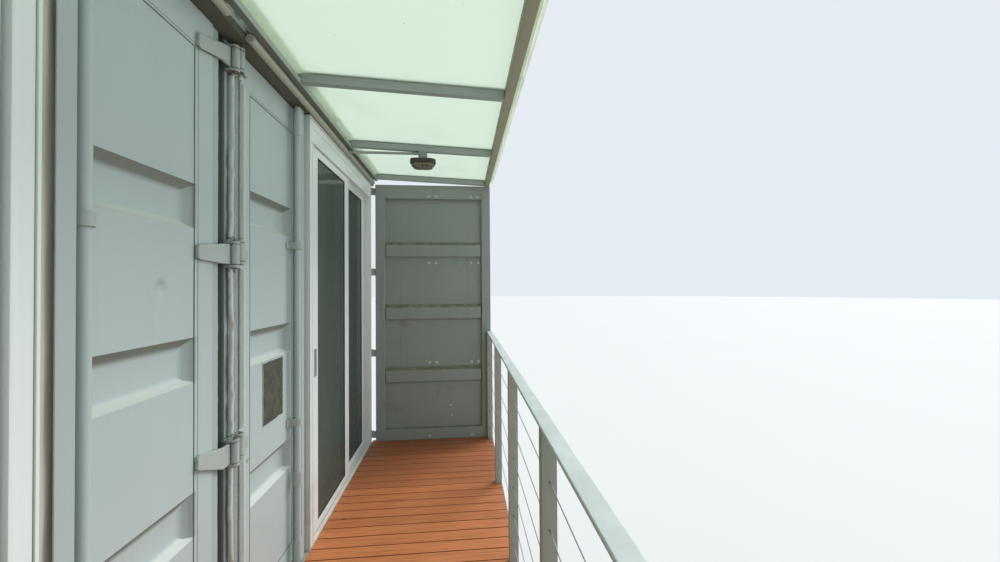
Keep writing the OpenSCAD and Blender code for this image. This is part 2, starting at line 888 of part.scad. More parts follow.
// folded trim that closes the gap between a cut leaf and the white frame
module edge_trims() {
  xa = edge_a + cut_a + lap;
  xb = edge_b + cut_b + lap;
  z1 = head_z - 1;
  color([0.50, 0.53, 0.53]) site() {
    mirror([1, 0, 0]) {
      box([xa - trim_in, -trim_d, deck_z], [xa + 34, -trim_d + trim_t, z1]);
      box([xa, -trim_d, deck_z], [xa + trim_t, leaf_t, z1]);
      box([xa + trim_t - lap, 0, deck_z], [xa - lap + seam_w, 6, z1]);
    }
    box([xb, -trim_b, deck_z], [xb + trim_t, leaf_t, z1]);
    box([xb, -trim_b, deck_z], [xb + 38, trim_t - trim_b, z1]);
    box([xb + trim_t - lap, 0, deck_z], [xb - lap + seam_w, 6, z1]);
    both() box([slide_end, 7 + slide_y, deck_z], [slide_end + 22, 11 + slide_y, z1]);
    both() box([slide_end, post_y - 6, deck_z], [half_x - hinge_x - lug_x, post_y, z1]);
  }
}

// white sliding doors
slide_a = edge_a + cut_a + seam_w;
slide_b = edge_b + cut_b + seam_w;
frame_top = head_z - 4;

module slider_frame(x0) {
  y1 = slide_y + slide_d;
  x1 = slide_end;
  f = slide_face;
  box([x0, slide_y, deck_z], [x0 + f, y1, frame_top]);
  box([x1 - f, slide_y, deck_z], [x1, y1, frame_top]);
  box([x0 + f - lap, slide_y, frame_top - head_face], [x1 - f + lap, y1, frame_top]);
  box([x0 + f - lap, slide_y, deck_z], [x1 - f + lap, y1, deck_z + track_h]);
}

module slider_frames() {
  color(white_c) site() {
    slider_frame(slide_b);
    mirror([1, 0, 0]) slider_frame(slide_a);
  }
}

sash_z0 = deck_z + track_h;
sash_z1 = frame_top - head_face;
out_y = slide_y + 10;
fix_y = out_y + sash_t + sash_clear;

function sash_w(x0) = (slide_end - x0 - 2 * slide_face + meet) / 2;

module sash(x0, x1, y, z0, z1) {
  difference() {
    box([x0, y, z0], [x1, y + sash_t, z1]);
    box([x0 + sash_face, y - lap, z0 + sash_rail], [x1 - sash_face, y + sash_t + lap, z1 - sash_rail]);
  }
}

module pane(x0, x1, y, z0, z1) {
  m = y + sash_t / 2;
  box([x0 + sash_face, m - glass_t / 2, z0 + sash_rail], [x1 - sash_face, m + glass_t / 2, z1 - sash_rail]);
}

fix_x1 = slide_end - slide_face;

module fixed_sashes() {
  color(white_c) site() {
    sash(fix_x1 - sash_w(slide_b), fix_x1, fix_y, sash_z0, sash_z1);
    mirror([1, 0, 0]) sash(fix_x1 - sash_w(slide_a), fix_x1, fix_y, sash_z0, sash_z1);
  }
}

module fixed_glass() {
  color(glass_c) site() {
    pane(fix_x1 - sash_w(slide_b), fix_x1, fix_y, sash_z0, sash_z1);
    mirror([1, 0, 0]) pane(fix_x1 - sash_w(slide_a), fix_x1, fix_y, sash_z0, sash_z1);
  }
}

module moving_sash(x0) {
  s = x0 + slide_face + sash_clear;
  sash(s, s + sash_w(x0) - sash_clear, out_y, sash_z0 + sash_clear, sash_z1 - sash_clear);
}

module moving_pane(x0) {
  s = x0 + slide_face + sash_clear;
  pane(s, s + sash_w(x0) - sash_clear, out_y, sash_z0 + sash_clear, sash_z1 - sash_clear);
}

pull_z = 1000;
pull_l = 170;
pull_w = 34;
pull_t = 4;

// flush pull on the stile that meets the jamb: a plate with a finger slot
module pull(x0) {
  x = x0 + slide_face + sash_clear + sash_face / 2;
  z = deck_z + pull_z;
  difference() {
    box([x - pull_w / 2, out_y - pull_t, z], [x + pull_w / 2, out_y, z + pull_l]);
    translate([x, out_y - pull_t - lap, z + pull_l / 2]) rotate([0, 90, 90])
      slot_z(pull_l - 40, pull_w - 16, pull_t);
  }
}

module sliding_sash_a() {
  color(white_c) site() mirror([1, 0, 0]) moving_sash(slide_a);
}

module sliding_glass_a() {
  color(glass_c) site() mirror([1, 0, 0]) moving_pane(slide_a);
}

module pull_a() {
  color([0.80, 0.82, 0.80]) site() mirror([1, 0, 0]) pull(slide_a);
}

module sliding_sash_b() {
  color(white_c) site() moving_sash(slide_b);
}

module sliding_glass_b() {
  color(glass_c) site() moving_pane(slide_b);
}

module pull_b() {
  color([0.80, 0.82, 0.80]) site() pull(slide_b);
}

// railing and canopy share one set of bays
bay = (screen_in - rail_post / 2 - lap) / 2.5;
bay_xs = [for (i = [-2.5 : 1 : 2.5]) i * bay];
rail_mid = -rail_in - rail_post / 2;
cables = [for (i = [0 : 5]) deck_z + cable_low + i * cable_pitch];

module rail_posts() {
  r = rail_post / 2;
  b = r - rail_wall;
  top = deck_z + rail_top - hand_h;
  color([0.52, 0.53, 0.52]) site() {
    for (x = bay_xs) {
      difference() {
        box([x - r, rail_mid - r, deck_z], [x + r, rail_mid + r, top]);
        box([x - b, rail_mid - b, deck_z + 6], [x + b, rail_mid + b, top - 3]);
        for (z = cables) {
          translate([x - rail_post, rail_mid, z]) rotate([0, 90, 0])
            cylinder(h = 2 * rail_post, d = cable_d + 2, $fn = 24);
        }
      }
    }
  }
}

rail_end = screen_in - lap;

module hand_rail() {
  z = deck_z + rail_top;
  color([0.80, 0.83, 0.82]) site()
    box([-rail_end, rail_mid - hand_w / 2, z - hand_h], [rail_end, rail_mid + hand_w / 2, z]);
}

module rail_cables() {
  color([0.70, 0.71, 0.70]) site() {
    for (z = cables) {
      translate([-2.5 * bay, rail_mid, z]) rotate([0, 90, 0]) cylinder(h = 5 * bay, d = cable_d, $fn = 24);
    }
  }
}

module cable_ends() {
  r = rail_post / 2;
  color([0.62, 0.63, 0.62]) site() both() {
    for (z = cables) {
      translate([2.5 * bay - r - 60, rail_mid, z]) rotate([0, 90, 0]) difference() {
        cylinder(h = 60, d = 12, $fn = 32);
        translate([0, 0, -lap]) cylinder(h = 60 + 2 * lap, d = cable_d + 0.4, $fn = 32);
      }
    }
  }
}

rafter_xs = [-2.5 * bay, -1.5 * bay, -mid_rafter, mid_rafter, 1.5 * bay, 2.5 * bay];
ledger_w = 30;
ledger_h = 31;
ledger_low = 13;
ledger_y = end_y + drip_d + 1;
rafter_z = leaf_top + canopy_fall;
rafter_in = ledger_y + ledger_w;

// wall angle, held off the header by a cleat at each rafter
module canopy_ledger() {
  z0 = rafter_z - ledger_low;
  z1 = z0 + ledger_h;
  c0 = head_z + drip_rise + drip_d / 2 + 2;
  c1 = c0 + 12;
  color([0.70, 0.73, 0.71]) site() {
    box([-rail_end, -rafter_in, z0], [rail_end, -ledger_y, z1]);
    for (x = rafter_xs) {
      box([x - 24, -rafter_in, z1 - lap], [x + 24, -ledger_y, c1]);
      box([x - 24, -ledger_y - lap, c0], [x + 24, -end_y, c1]);
    }
  }
}

module canopy_rafters() {
  color([0.70, 0.73, 0.71]) site() {
    for (x = rafter_xs) {
      along_x(x - rafter_w / 2, x + rafter_w / 2) polygon([
        [-beam_in, leaf_top], [-rafter_in, rafter_z],
        [-rafter_in, rafter_z + rafter_h], [-beam_in, leaf_top + rafter_h]
      ]);
    }
  }
}

module canopy_beam() {
  x = screen_in + leaf_t;
  color([0.78, 0.81, 0.79]) site()
    box([-x, -beam_in - beam_s, leaf_top], [x, -beam_in, leaf_top + beam_s]);
}

slope = canopy_fall / (beam_in - rafter_in);

// height of the underside of the canopy sheets at a distance out from the leaf faces
function sheet_z(out) = leaf_top + rafter_h + (beam_in + beam_s - out) * slope;

module canopy_sheets() {
  y0 = front_out - 6;
  y1 = end_y + 4;
  color([0.80, 0.90, 0.83, 0.6]) site() {
    for (i = [0 : 4]) {
      x0 = i == 0 ? -screen_in - leaf_t : rafter_xs[i] + 3;
      x1 = i == 4 ? screen_in + leaf_t : rafter_xs[i + 1] - 3;
      along_x(x0, x1) polygon([
        [-y0, sheet_z(y0)], [-y1, sheet_z(y1)], [-y1, sheet_z(y1) + canopy_t], [-y0, sheet_z(y0) + canopy_t]
      ]);
    }
  }
}

flash_t = 2;

module canopy_flashings() {
  z0 = sheet_z(front_out) + canopy_t + 0.5;
  zw = sheet_z(end_y) + canopy_t + 0.5;
  zo = sheet_z(end_y + 90) + canopy_t + 0.5;
  x = screen_in + leaf_t;
  color([0.84, 0.86, 0.84]) site() {
    along_x(-x, x) polygon([
      [-front_out, z0 + flash_t], [-front_out, z0 - 46], [-front_out + flash_t, z0 - 46],
      [-front_out + flash_t, z0], [-front_out + 60, z0 + 60 * slope],
      [-front_out + 60, z0 + 60 * slope + flash_t]
    ]);
    along_x(-x, x) polygon([
      [-end_y, box_top - 10], [-end_y - flash_t, box_top - 10], [-end_y - flash_t, zw + flash_t],
      [-end_y - 90, zo + flash_t], [-end_y - 90, zo], [-end_y, zw]
    ]);
  }
}

// ends of the two drip rails next to the joint
drip_a = -190;
drip_b = -25;

module drip_rails() {
  x = screen_in - 10;
  color([0.62, 0.58, 0.50]) site() translate([0, -end_y - drip_d / 2, head_z + drip_rise]) {
    translate([drip_b, 0, 0]) rotate([0, 90, 0]) cylinder(h = x - drip_b, d = drip_d, $fn = 48);
    translate([-x, 0, 0]) rotate([0, 90, 0]) cylinder(h = x + drip_a, d = drip_d, $fn = 48);
  }
}

// lamp under a rafter
lamp_x = 1.5 * bay;
lamp_out = 667;
lamp_l = 200;
lamp_w = 110;
box_s = 64;
lamp_box_h = 58;
conduit_d = 20;

function rafter_low(out) = leaf_top + (beam_in - out) * slope;

lamp_top = rafter_low(lamp_out + box_s / 2) - lamp_box_h - 0.5;

module lamp_conduit() {
  z = rafter_low(lamp_out) - conduit_d / 2 - 3;
  color([0.66, 0.68, 0.67]) site()
    translate([lamp_x, -lamp_out + box_s / 2, z]) rotate([-90, 0, 0])
      cylinder(h = lamp_out - box_s / 2 - end_y, d = conduit_d, $fn = 32);
}

module lamp_box() {
  r = box_s / 2;
  color([0.55, 0.57, 0.56]) site()
    box([lamp_x - r, -lamp_out - r, lamp_top], [lamp_x + r, -lamp_out + r, lamp_top + lamp_box_h]);
}

module stadium(l, w, h) {
  rotate([0, 0, 90]) slot_z(l, w, h);
}

module lamp_base() {
  color([0.16, 0.14, 0.12]) site() translate([lamp_x, -lamp_out, lamp_top - 30]) {
    stadium(lamp_l, lamp_w, 30);
  }
}

module lamp_globe() {
  color([0.80, 0.80, 0.74]) site() translate([lamp_x, -lamp_out, lamp_top - 30]) {
    translate([0, 0, -22]) stadium(lamp_l - 30, lamp_w - 24, 22);
    translate([0, 0, -38]) stadium(lamp_l - 50, lamp_w - 44, 18);
    translate([0, 0, -46]) stadium(lamp_l - 84, lamp_w - 72, 10);
  }
}

base_plates();
support_columns();
cross_beams();
long_beams();
knee_braces();
deck_frame();
deck_boards();
corner_castings();
corner_posts();
top_rails();
bottom_rails();
door_headers();
door_sills();
rear_rails();
floor_bearers();
floor_panels();
side_walls();
rear_walls();
roof_panels();
cut_leaf_a();
cut_leaf_b();
end_screens();
door_gaskets();
hinge_blades();
hinge_lugs();
hinge_pins();
lock_rods();
rod_sleeves();
rod_brackets();
rod_handles();
leaf_plate();
edge_trims();
slider_frames();
fixed_sashes();
fixed_glass();
sliding_sash_a();
sliding_glass_a();
pull_a();
sliding_sash_b();
sliding_glass_b();
pull_b();
rail_posts();
hand_rail();
rail_cables();
cable_ends();
canopy_ledger();
canopy_rafters();
canopy_beam();
canopy_sheets();
canopy_flashings();
drip_rails();
lamp_conduit();
lamp_box();
lamp_base();
lamp_globe();
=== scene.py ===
"""Looks of a raised container cabin with a roofed timber balcony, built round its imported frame."""

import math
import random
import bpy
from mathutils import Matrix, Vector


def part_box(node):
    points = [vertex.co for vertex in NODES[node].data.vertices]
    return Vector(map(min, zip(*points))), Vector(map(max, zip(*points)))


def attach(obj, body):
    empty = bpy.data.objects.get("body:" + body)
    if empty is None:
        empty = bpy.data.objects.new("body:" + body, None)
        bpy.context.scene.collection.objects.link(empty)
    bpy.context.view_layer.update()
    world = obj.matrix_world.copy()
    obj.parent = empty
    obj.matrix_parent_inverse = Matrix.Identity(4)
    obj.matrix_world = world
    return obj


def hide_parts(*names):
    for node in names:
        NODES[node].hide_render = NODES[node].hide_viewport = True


bl_info = {
    "name": "Container cabin",
    "version": (1, 0, 0),
    "blender": (4, 5, 0),
    "location": "3D View > Sidebar > Cabin",
    "description": "Finishes and small pieces of a two-bay container cabin",
    "category": "Object",
}

import bmesh
import bpy
from bpy.props import FloatProperty, FloatVectorProperty, IntProperty
from mathutils import Matrix, Vector, noise

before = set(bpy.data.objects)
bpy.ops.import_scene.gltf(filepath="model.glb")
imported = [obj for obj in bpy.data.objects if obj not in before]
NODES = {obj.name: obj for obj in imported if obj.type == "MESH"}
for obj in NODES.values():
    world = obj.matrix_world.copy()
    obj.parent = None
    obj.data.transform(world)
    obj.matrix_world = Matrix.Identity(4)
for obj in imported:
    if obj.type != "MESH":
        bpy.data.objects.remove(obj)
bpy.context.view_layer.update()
ROOT = "cabin"

# the leaf faces, the deck and the leaf height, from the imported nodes
LEAF_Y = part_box("cut_leaf_a")[0].y
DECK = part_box("deck_boards")[1].z
LEAF_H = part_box("cut_leaf_a")[1].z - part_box("cut_leaf_a")[0].z
# depth of the pressed bands' floors behind the outer face of a leaf
BAND_FLOOR = 0.033
# heights of the two containers' hinges over the deck, and the free lengths of the joint between them
HINGES_A = (0.140, 0.872, 1.693, 2.515)
HINGES_B = tuple(0.062 + i * (LEAF_H - 0.112) / 3 for i in range(4))
HINGE_GAPS = ((0.199, 0.813), (0.944, 1.634), (1.766, 2.456))
# middles of the rafters along the balcony
RAFTERS = (-2.317, -1.390, -0.417, 0.417, 1.390, 2.317)
BOARD_PITCH = 0.100
BOARD_WIDTH = 0.095
# points nearer than this are one point
MERGE = 0.00002
X, Y, Z = (Vector(axis) for axis in ((1, 0, 0), (0, 1, 0), (0, 0, 1)))


def spot(x, out, up):
    """A point from its place along the balcony, its distance out from the leaf faces and its height over the deck."""
    return Vector((x, LEAF_Y - out, DECK + up))


def shade(red, green, blue):
    """A colour in Blender's own units from the 0 to 255 numbers of a paint chart."""
    parts = (c / 255 for c in (red, green, blue))
    return tuple(c / 12.92 if c <= 0.04045 else ((c + 0.055) / 1.055) ** 2.4 for c in parts)


def colour(name, description, *chart):
    """A colour property whose default is given in chart numbers."""
    return FloatVectorProperty(
        name=name, description=description, subtype="COLOR", size=3, min=0, max=1, default=shade(*chart)
    )


def length(name, description, default, low, high):
    """A length property in metres."""
    return FloatProperty(
        name=name, description=description, unit="LENGTH", min=low, max=high, default=default, precision=4
    )


class CabinColours(bpy.types.PropertyGroup):
    door_paint: colour("Door paint", "Brushed paint of the door leaves and shells", 180, 193, 191)
    screen_paint: colour("Screen paint", "Weathered paint of the two end screens", 148, 156, 150)
    grime: colour("Grime", "Brown dirt on ledges and under edges", 96, 86, 66)
    algae: colour("Algae", "Green growth on ledges that stay damp", 98, 108, 66)
    rust: colour("Rust", "Rust on chipped edges and hinges", 112, 62, 38)
    steelwork: colour("Steelwork", "Paint of the columns, beams and deck frame", 92, 96, 96)
    timber: colour("Deck stain", "Stain of the deck boards", 206, 124, 72)
    timber_dark: colour("Deck grain", "Dark grain of the deck boards", 150, 84, 46)
    frame_white: colour("Frame white", "Coating of the sliding doors", 226, 232, 228)
    glass_tint: colour("Glass tint", "Tint of the door glass", 196, 208, 200)
    rail_steel: colour("Railing posts", "Paint of the railing posts", 160, 163, 151)
    rail_cap: colour("Hand rail", "Paint of the hand rail", 206, 215, 213)
    canopy_sheet: colour("Canopy sheet", "Milky sheets of the canopy", 222, 234, 222)
    canopy_steel: colour("Canopy steel", "Paint of the rafters and the outer beam", 158, 166, 162)
    seal: colour("Seal", "Painted rubber of the door seals", 196, 204, 198)
    # paler ledges: dust together with a painted highlight on faces that look up
    dust_and_highlight: colour("Ledge dust", "Pale dust on ledges under the canopy", 214, 217, 210)
    header: colour("Headers", "Stained paint of the door headers", 92, 92, 80)
    beam: colour("Outer beam", "Olive stain on the outer beam", 150, 148, 122)
    lamp_body: colour("Lamp body", "Dark body of the lamp", 58, 48, 46)
    floor: colour("Floor", "Studio floor", 212, 212, 210)


class CabinSizes(bpy.types.PropertyGroup):
    edge_round: length("Edge rounding", "Rounding of sheet and bar edges", 0.002, 0, 0.01)
    board_round: length("Board rounding", "Rounding of the deck boards' edges", 0.003, 0, 0.01)
    screw_head: length("Deck screw", "Diameter of the deck screws' heads", 0.009, 0.004, 0.02)
    bolt_head: length("Screen bolt", "Width of the bolt heads on the screens", 0.018, 0.01, 0.04)
    band_round: length("Band rounding", "Rounding of the inner creases of the pressed bands", 0.014, 0.001, 0.02)
    seam: length("Weld seam", "Width of the seam round a leaf's skin", 0.003, 0.002, 0.02)
    dent: length("Dent depth", "Depth of the dents in the leaf skins", 0.006, 0, 0.02)
    swell: length("Sheet swell", "How far the leaf skins are out of flat", 0.0016, 0, 0.006)
    seal_wave: length("Seal wave", "How far the old seals wander", 0.019, 0, 0.03)
    cage_wire: length("Cage wire", "Thickness of the lamp cage", 0.005, 0.002, 0.01)
    curtain_folds: IntProperty(name="Curtain folds", description="Folds in the curtain", default=10, min=3, max=20)


def colours():
    return bpy.context.scene.cabin_colours


def sizes():
    return bpy.context.scene.cabin_sizes


# shader expressions


class Value:
    """A number that varies over a surface; arithmetic on it adds Math nodes."""

    def __init__(self, nodes, socket):
        self.nodes = nodes
        self.socket = socket

    def _math(self, operation, *operands):
        return self.nodes.node("ShaderNodeMath", {"operation": operation}, dict(enumerate(operands)))

    def __add__(self, other):
        return self._math("ADD", self, other)

    __radd__ = __add__

    def __mul__(self, other):
        return self._math("MULTIPLY", self, other)

    __rmul__ = __mul__

    def __sub__(self, other):
        return self._math("SUBTRACT", self, other)

    def __rsub__(self, other):
        return self._math("SUBTRACT", other, self)

    def __truediv__(self, other):
        return self._math("DIVIDE", self, other)

    def floor(self):
        return self._math("FLOOR", self)

    def smallest(self, other):
        return self._math("MINIMUM", self, other)

    def largest(self, other):
        return self._math("MAXIMUM", self, other)

    def distance(self, other):
        return self._math("ABSOLUTE", self - other)

    def rise(self, low, high):
        """0 below low, 1 above high and a smooth step between."""
        return self.nodes.node(
            "ShaderNodeMapRange",
            {"interpolation_type": "SMOOTHSTEP"},
            {"Value": self, "From Min": low, "From Max": high},
        )

    def fall(self, low, high):
        """1 below low, 0 above high and a smooth step between."""
        return 1 - self.rise(low, high)


class Nodes:
    """A node tree, and the one method that adds nodes to it."""

    def __init__(self, tree):
        self.tree = tree

    def node(self, kind, settings=None, sockets=None, out=0):
        """Adds a node: its settings first, then its sockets' values or links."""
        made = self.tree.nodes.new(kind)
        for key, value in (settings or {}).items():
            setattr(made, key, value)
        for key, value in (sockets or {}).items():
            self.feed(made.inputs[key], value)
        return Value(self, made.outputs[out])

    def feed(self, socket, value):
        """Links a value to a socket, or sets a constant on it."""
        if isinstance(value, Value):
            self.tree.links.new(value.socket, socket)
        elif socket.type == "RGBA":
            socket.default_value = (*value, 1)[:4]
        else:
            socket.default_value = value


class Finish(Nodes):
    """A procedural material, with the places and patterns that its mixes are made from."""

    def __init__(self, name):
        self.material = bpy.data.materials.new(name)
        self.material.use_nodes = True
        super().__init__(self.material.node_tree)
        self.shader = self.tree.nodes["Principled BSDF"]
        self._vectors = {}

    def _part(self, kind, source, axis):
        """One coordinate of a node's vector output, or the whole vector; the nodes are made once."""
        if kind not in self._vectors:
            whole = self.node(kind, out=source)
            apart = self.node("ShaderNodeSeparateXYZ", sockets={0: whole}).socket.node
            self._vectors[kind] = {"all": whole, **{name: Value(self, apart.outputs[name]) for name in "XYZ"}}
        return self._vectors[kind][axis]

    def place(self, axis="all"):
        """The place on the piece in metres, or one of its coordinates."""
        return self._part("ShaderNodeTexCoord", "Object", axis)

    def facing(self, axis):
        """One coordinate of the direction that the surface faces."""
        return self._part("ShaderNodeNewGeometry", "Normal", axis)

    def spread(self, stretch, shift=(0, 0, 0)):
        """The place with each coordinate scaled, then shifted."""
        return self.node(
            "ShaderNodeMapping", {"vector_type": "POINT"}, {"Vector": self.place(), "Scale": stretch, "Location": shift}
        )

    def clouds(self, scale, detail=4.0, rough=0.55, stretch=(1, 1, 1), shift=(0, 0, 0)):
        """Soft noise from 0 to 1 with patches of about 1 / scale metres."""
        return self.node(
            "ShaderNodeTexNoise",
            sockets={"Vector": self.spread(stretch, shift), "Scale": scale, "Detail": detail, "Roughness": rough},
        )

    def cells(self, scale, stretch=(1, 1, 1), feature="F1"):
        """Distances in a pattern of cells of about 1 / scale metres."""
        return self.node(
            "ShaderNodeTexVoronoi",
            {"feature": feature},
            {"Vector": self.spread(stretch), "Scale": scale},
            out="Distance",
        )

    def waves(self, direction, scale, **more):
        """Even bands across one direction, with further settings of the wave by name."""
        sockets = {"Vector": self.place(), "Scale": scale, **more}
        return self.node("ShaderNodeTexWave", {"bands_direction": direction}, sockets, out=1)

    def random_of(self, value):
        """A random number from 0 to 1 for each value."""
        return self.node("ShaderNodeTexWhiteNoise", {"noise_dimensions": "1D"}, {"W": value}, out="Value")

    def mix(self, share, first, second):
        """A share of the second colour over the first."""
        return self.node("ShaderNodeMix", {"data_type": "RGBA"}, {0: share, 6: first, 7: second}, out=2)

    def darker(self, tone, amount):
        """A colour scaled by a number."""
        return self.node("ShaderNodeVectorMath", {"operation": "SCALE"}, {0: tone, 3: amount})

    def over(self, kind, tone, share):
        """Mixes a share of another kind of shader over the first one."""
        other = self.node(kind, sockets={"Color": tone})
        both = self.node("ShaderNodeMixShader", sockets={0: share, 1: Value(self, self.shader.outputs[0]), 2: other})
        self.feed(self.tree.nodes["Material Output"].inputs["Surface"], both)
        return self.material

    def coat(self, tone, rough, relief=None, depth=0.001, **fixed):
        """Feeds the shader: colour, roughness, relief in metres and fixed values."""
        self.feed(self.shader.inputs["Base Color"], tone)
        self.feed(self.shader.inputs["Roughness"], rough)
        for key, value in fixed.items():
            self.feed(self.shader.inputs[key.replace("_", " ").title().replace("Ior", "IOR")], value)
        if relief is not None:
            bump = self.node("ShaderNodeBump", sockets={"Height": relief, "Distance": depth, "Strength": 1.0})
            self.feed(self.shader.inputs["Normal"], bump)
        return self.material


def painted(name, tone, wear=0.5, green=0.0, rusty=0.2, rough=0.5, brush=1.0, lips=0.0, channel=False):
    """Brushed paint on steel: cloudy tone, dirt runs, grime and algae on ledges, and rust specks.

    lips is how far dust and a painted highlight pale the ledges, and how far dirt and painted shade darken what faces
    down or along the balcony; channel darkens the joint's depth with painted shade.
    """
    f = Finish(name)
    c = colours()
    cloud = f.clouds(1.6, 5)
    runs = f.clouds(1.0, 3, 0.6, stretch=(14, 14, 0.7))
    strokes = f.clouds(1.0, 3, 0.6, stretch=(120, 120, 9), shift=(3, 1, 2))
    up = f.facing("Z")
    base = f.darker(tone, 0.9 + 0.14 * cloud + 0.05 * runs - 0.03 * strokes)
    dirt = (runs.rise(0.52, 0.8) * cloud.rise(0.35, 0.7)) * (0.35 * wear)
    ledge = up.rise(0.25, 0.7) * f.clouds(9, 4).rise(0.3, 0.62) * wear
    base = f.mix((dirt + (0.5 - 0.5 * lips) * ledge).smallest(1.0), base, c.grime)
    if lips:
        # painted highlight, with dust: faces that look up are paled
        base = f.mix(up.rise(0.1, 0.8) * (lips * 0.85), base, c.dust_and_highlight)
        # painted shade, with dirt: faces that look down are browned and faces that look along the balcony are darkened
        under = up.fall(-0.72, -0.05) + f.facing("X").distance(0.0).rise(0.1, 0.8) * 0.45
        base = f.mix((under * (0.6 + 0.5 * cloud)).smallest(1.0) * lips, base, shade(98, 100, 84))
    if channel:
        # painted shade: the joint's channel on the corner posts is darkened the deeper it goes
        joint_middle = -0.05
        near = (f.place("X") - joint_middle).distance(0.0).fall(0.05, 0.07)
        depth = (f.place("Y") - LEAF_Y).rise(0.002, 0.03) * near
        base = f.mix(depth * 0.8, base, shade(86, 91, 86))
    if green:
        damp_and_shade = up.rise(0.1, 0.6) * f.clouds(13, 5, 0.7).rise(0.3, 0.62)
        growth = (damp_and_shade + f.clouds(3.2, 6, 0.65).rise(0.56, 0.75) * 0.5) * green
        base = f.mix(growth.smallest(0.85), base, c.algae)
    specks = f.clouds(34, 6, 0.7, shift=(5, 5, 5)).rise(0.70 - 0.08 * rusty, 0.75) * rusty
    base = f.mix(specks.smallest(1.0), base, c.rust)
    roughness = (rough + 0.18 * cloud + 0.2 * ledge + 0.3 * specks).smallest(1.0)
    relief = f.clouds(90, 3) * 0.35 + strokes * (0.6 * brush) + cloud * 0.5 - specks * 1.2
    return f.coat(base, roughness, relief, 0.0006, ior=1.45)


def forged(name, tone):
    """Painted forgings and rods: paint worn to rust along the lower edges."""
    f = Finish(name)
    cloud = f.clouds(12, 5, 0.6)
    under = f.facing("Z").fall(-0.75, -0.25)
    rust = (under * cloud.rise(0.3, 0.6) + f.clouds(38, 6, 0.7).rise(0.64, 0.72) * 0.8).smallest(1.0)
    base = f.mix(rust * 0.8, f.darker(tone, 0.86 + 0.2 * cloud), shade(104, 80, 64))
    relief = cloud * 0.5 + f.clouds(140, 3) * 0.5 + rust * f.clouds(260, 2) * 0.8
    return f.coat(base, 0.45 + 0.4 * rust, relief, 0.0009)


def mottled_plate(name, tone):
    """A bare plate with green and brown growth in patches and old runs."""
    f = Finish(name)
    patches = f.clouds(26, 6, 0.65)
    runs = f.clouds(1.0, 4, 0.6, stretch=(60, 60, 6))
    base = f.mix(patches.rise(0.38, 0.62) * 0.6, f.darker(tone, 0.7 + 0.4 * runs), shade(100, 99, 74))
    base = f.mix(f.clouds(60, 5, 0.7, shift=(2, 2, 2)).rise(0.56, 0.68) * 0.6, base, shade(52, 56, 50))
    return f.coat(base, 0.6 + 0.25 * patches, patches * 0.8 + f.clouds(180, 3) * 0.4, 0.0008)


def brushed_seal(name, tone):
    """Old rubber that was painted over: the paint has cracked off in patches."""
    f = Finish(name)
    cracks = f.cells(70, (1, 1, 0.35), "DISTANCE_TO_EDGE").fall(0.0, 0.05)
    bare = f.clouds(26, 5, 0.65, stretch=(1, 1, 0.4)).rise(0.60, 0.70)
    cloudy = f.darker(tone, 0.85 + 0.25 * f.clouds(9, 4))
    base = f.mix((bare * 0.3 + cracks * 0.12).smallest(1.0), cloudy, shade(74, 74, 68))
    return f.coat(base, 0.75, cracks * -0.6 + f.clouds(30, 4) * 1.4 + bare * -0.4, 0.0015)


def stained_boards(name, tone):
    """Stained deck boards: each board its own tone, long grain, knots and worn patches."""
    f = Finish(name)
    # the small share keeps a board's own edge in its number
    board = ((f.place("X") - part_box("deck_boards")[0].x) / BOARD_PITCH + 0.02).floor()
    tint = f.random_of(board)
    wander = f.clouds(2.2, 2, stretch=(3, 0.5, 1)) * 0.02
    across = f.place("X") + wander + tint * 7
    warp = f.node("ShaderNodeCombineXYZ", sockets={0: across, 1: f.place("Y"), 2: f.place("Z")})
    fine, wide = (
        f.node("ShaderNodeMapping", sockets={"Vector": warp, "Scale": scale})
        for scale in ((75, 2.6, 20), (16, 0.55, 8))
    )
    grain = f.node("ShaderNodeTexNoise", sockets={"Vector": fine, "Scale": 1.0, "Detail": 7.0, "Roughness": 0.62})
    rings = f.waves("X", 1.1, Vector=wide, Distortion=7.0, Detail=3.0, **{"Detail Scale": 0.8})
    base = f.mix((grain.rise(0.42, 0.7) * 0.55 + rings * 0.25).smallest(1.0), tone, colours().timber_dark)
    # painted shade: the boards beside the end screens are darkened
    damp_and_shade = f.place("X").distance(0.0).rise(0.7, 2.3)
    base = f.darker(base, (0.86 + 0.26 * tint) * (1.0 - 0.34 * damp_and_shade))
    worn = f.clouds(3.0, 5, stretch=(2.5, 0.7, 1)).rise(0.55, 0.8) * 0.35
    base = f.mix(worn, base, shade(196, 138, 98))
    knots = f.cells(2.6, (3.3, 0.9, 0.01)).fall(0.02, 0.06)
    base = f.mix(knots * 0.8, base, shade(70, 34, 22))
    # painted shade: faces that don't look up, the boards' sides down in the gaps, are darkened
    gap_shade = f.facing("Z").fall(0.35, 0.75)
    base = f.mix(gap_shade * 0.9, base, shade(52, 30, 20))
    relief = grain * -0.8 + rings * -0.25 - knots * 0.4
    return f.coat(base, 0.5 + 0.2 * grain - 0.06 * tint, relief, 0.0009)


def powder_white(name, tone):
    """Powder-coated door profiles with dust low down and on their tops."""
    f = Finish(name)
    low_down = (f.place("Z") - DECK).fall(0.0, 1.1) * 0.4
    dust = f.clouds(5, 5).rise(0.45, 0.85) * low_down + f.facing("Z").rise(0.3, 0.8) * 0.35
    base = f.mix(dust.smallest(1.0), f.darker(tone, 0.97 + 0.05 * f.clouds(2, 3)), shade(158, 152, 136))
    return f.coat(base, 0.34 + 0.3 * dust, f.clouds(420, 2), 0.00015)


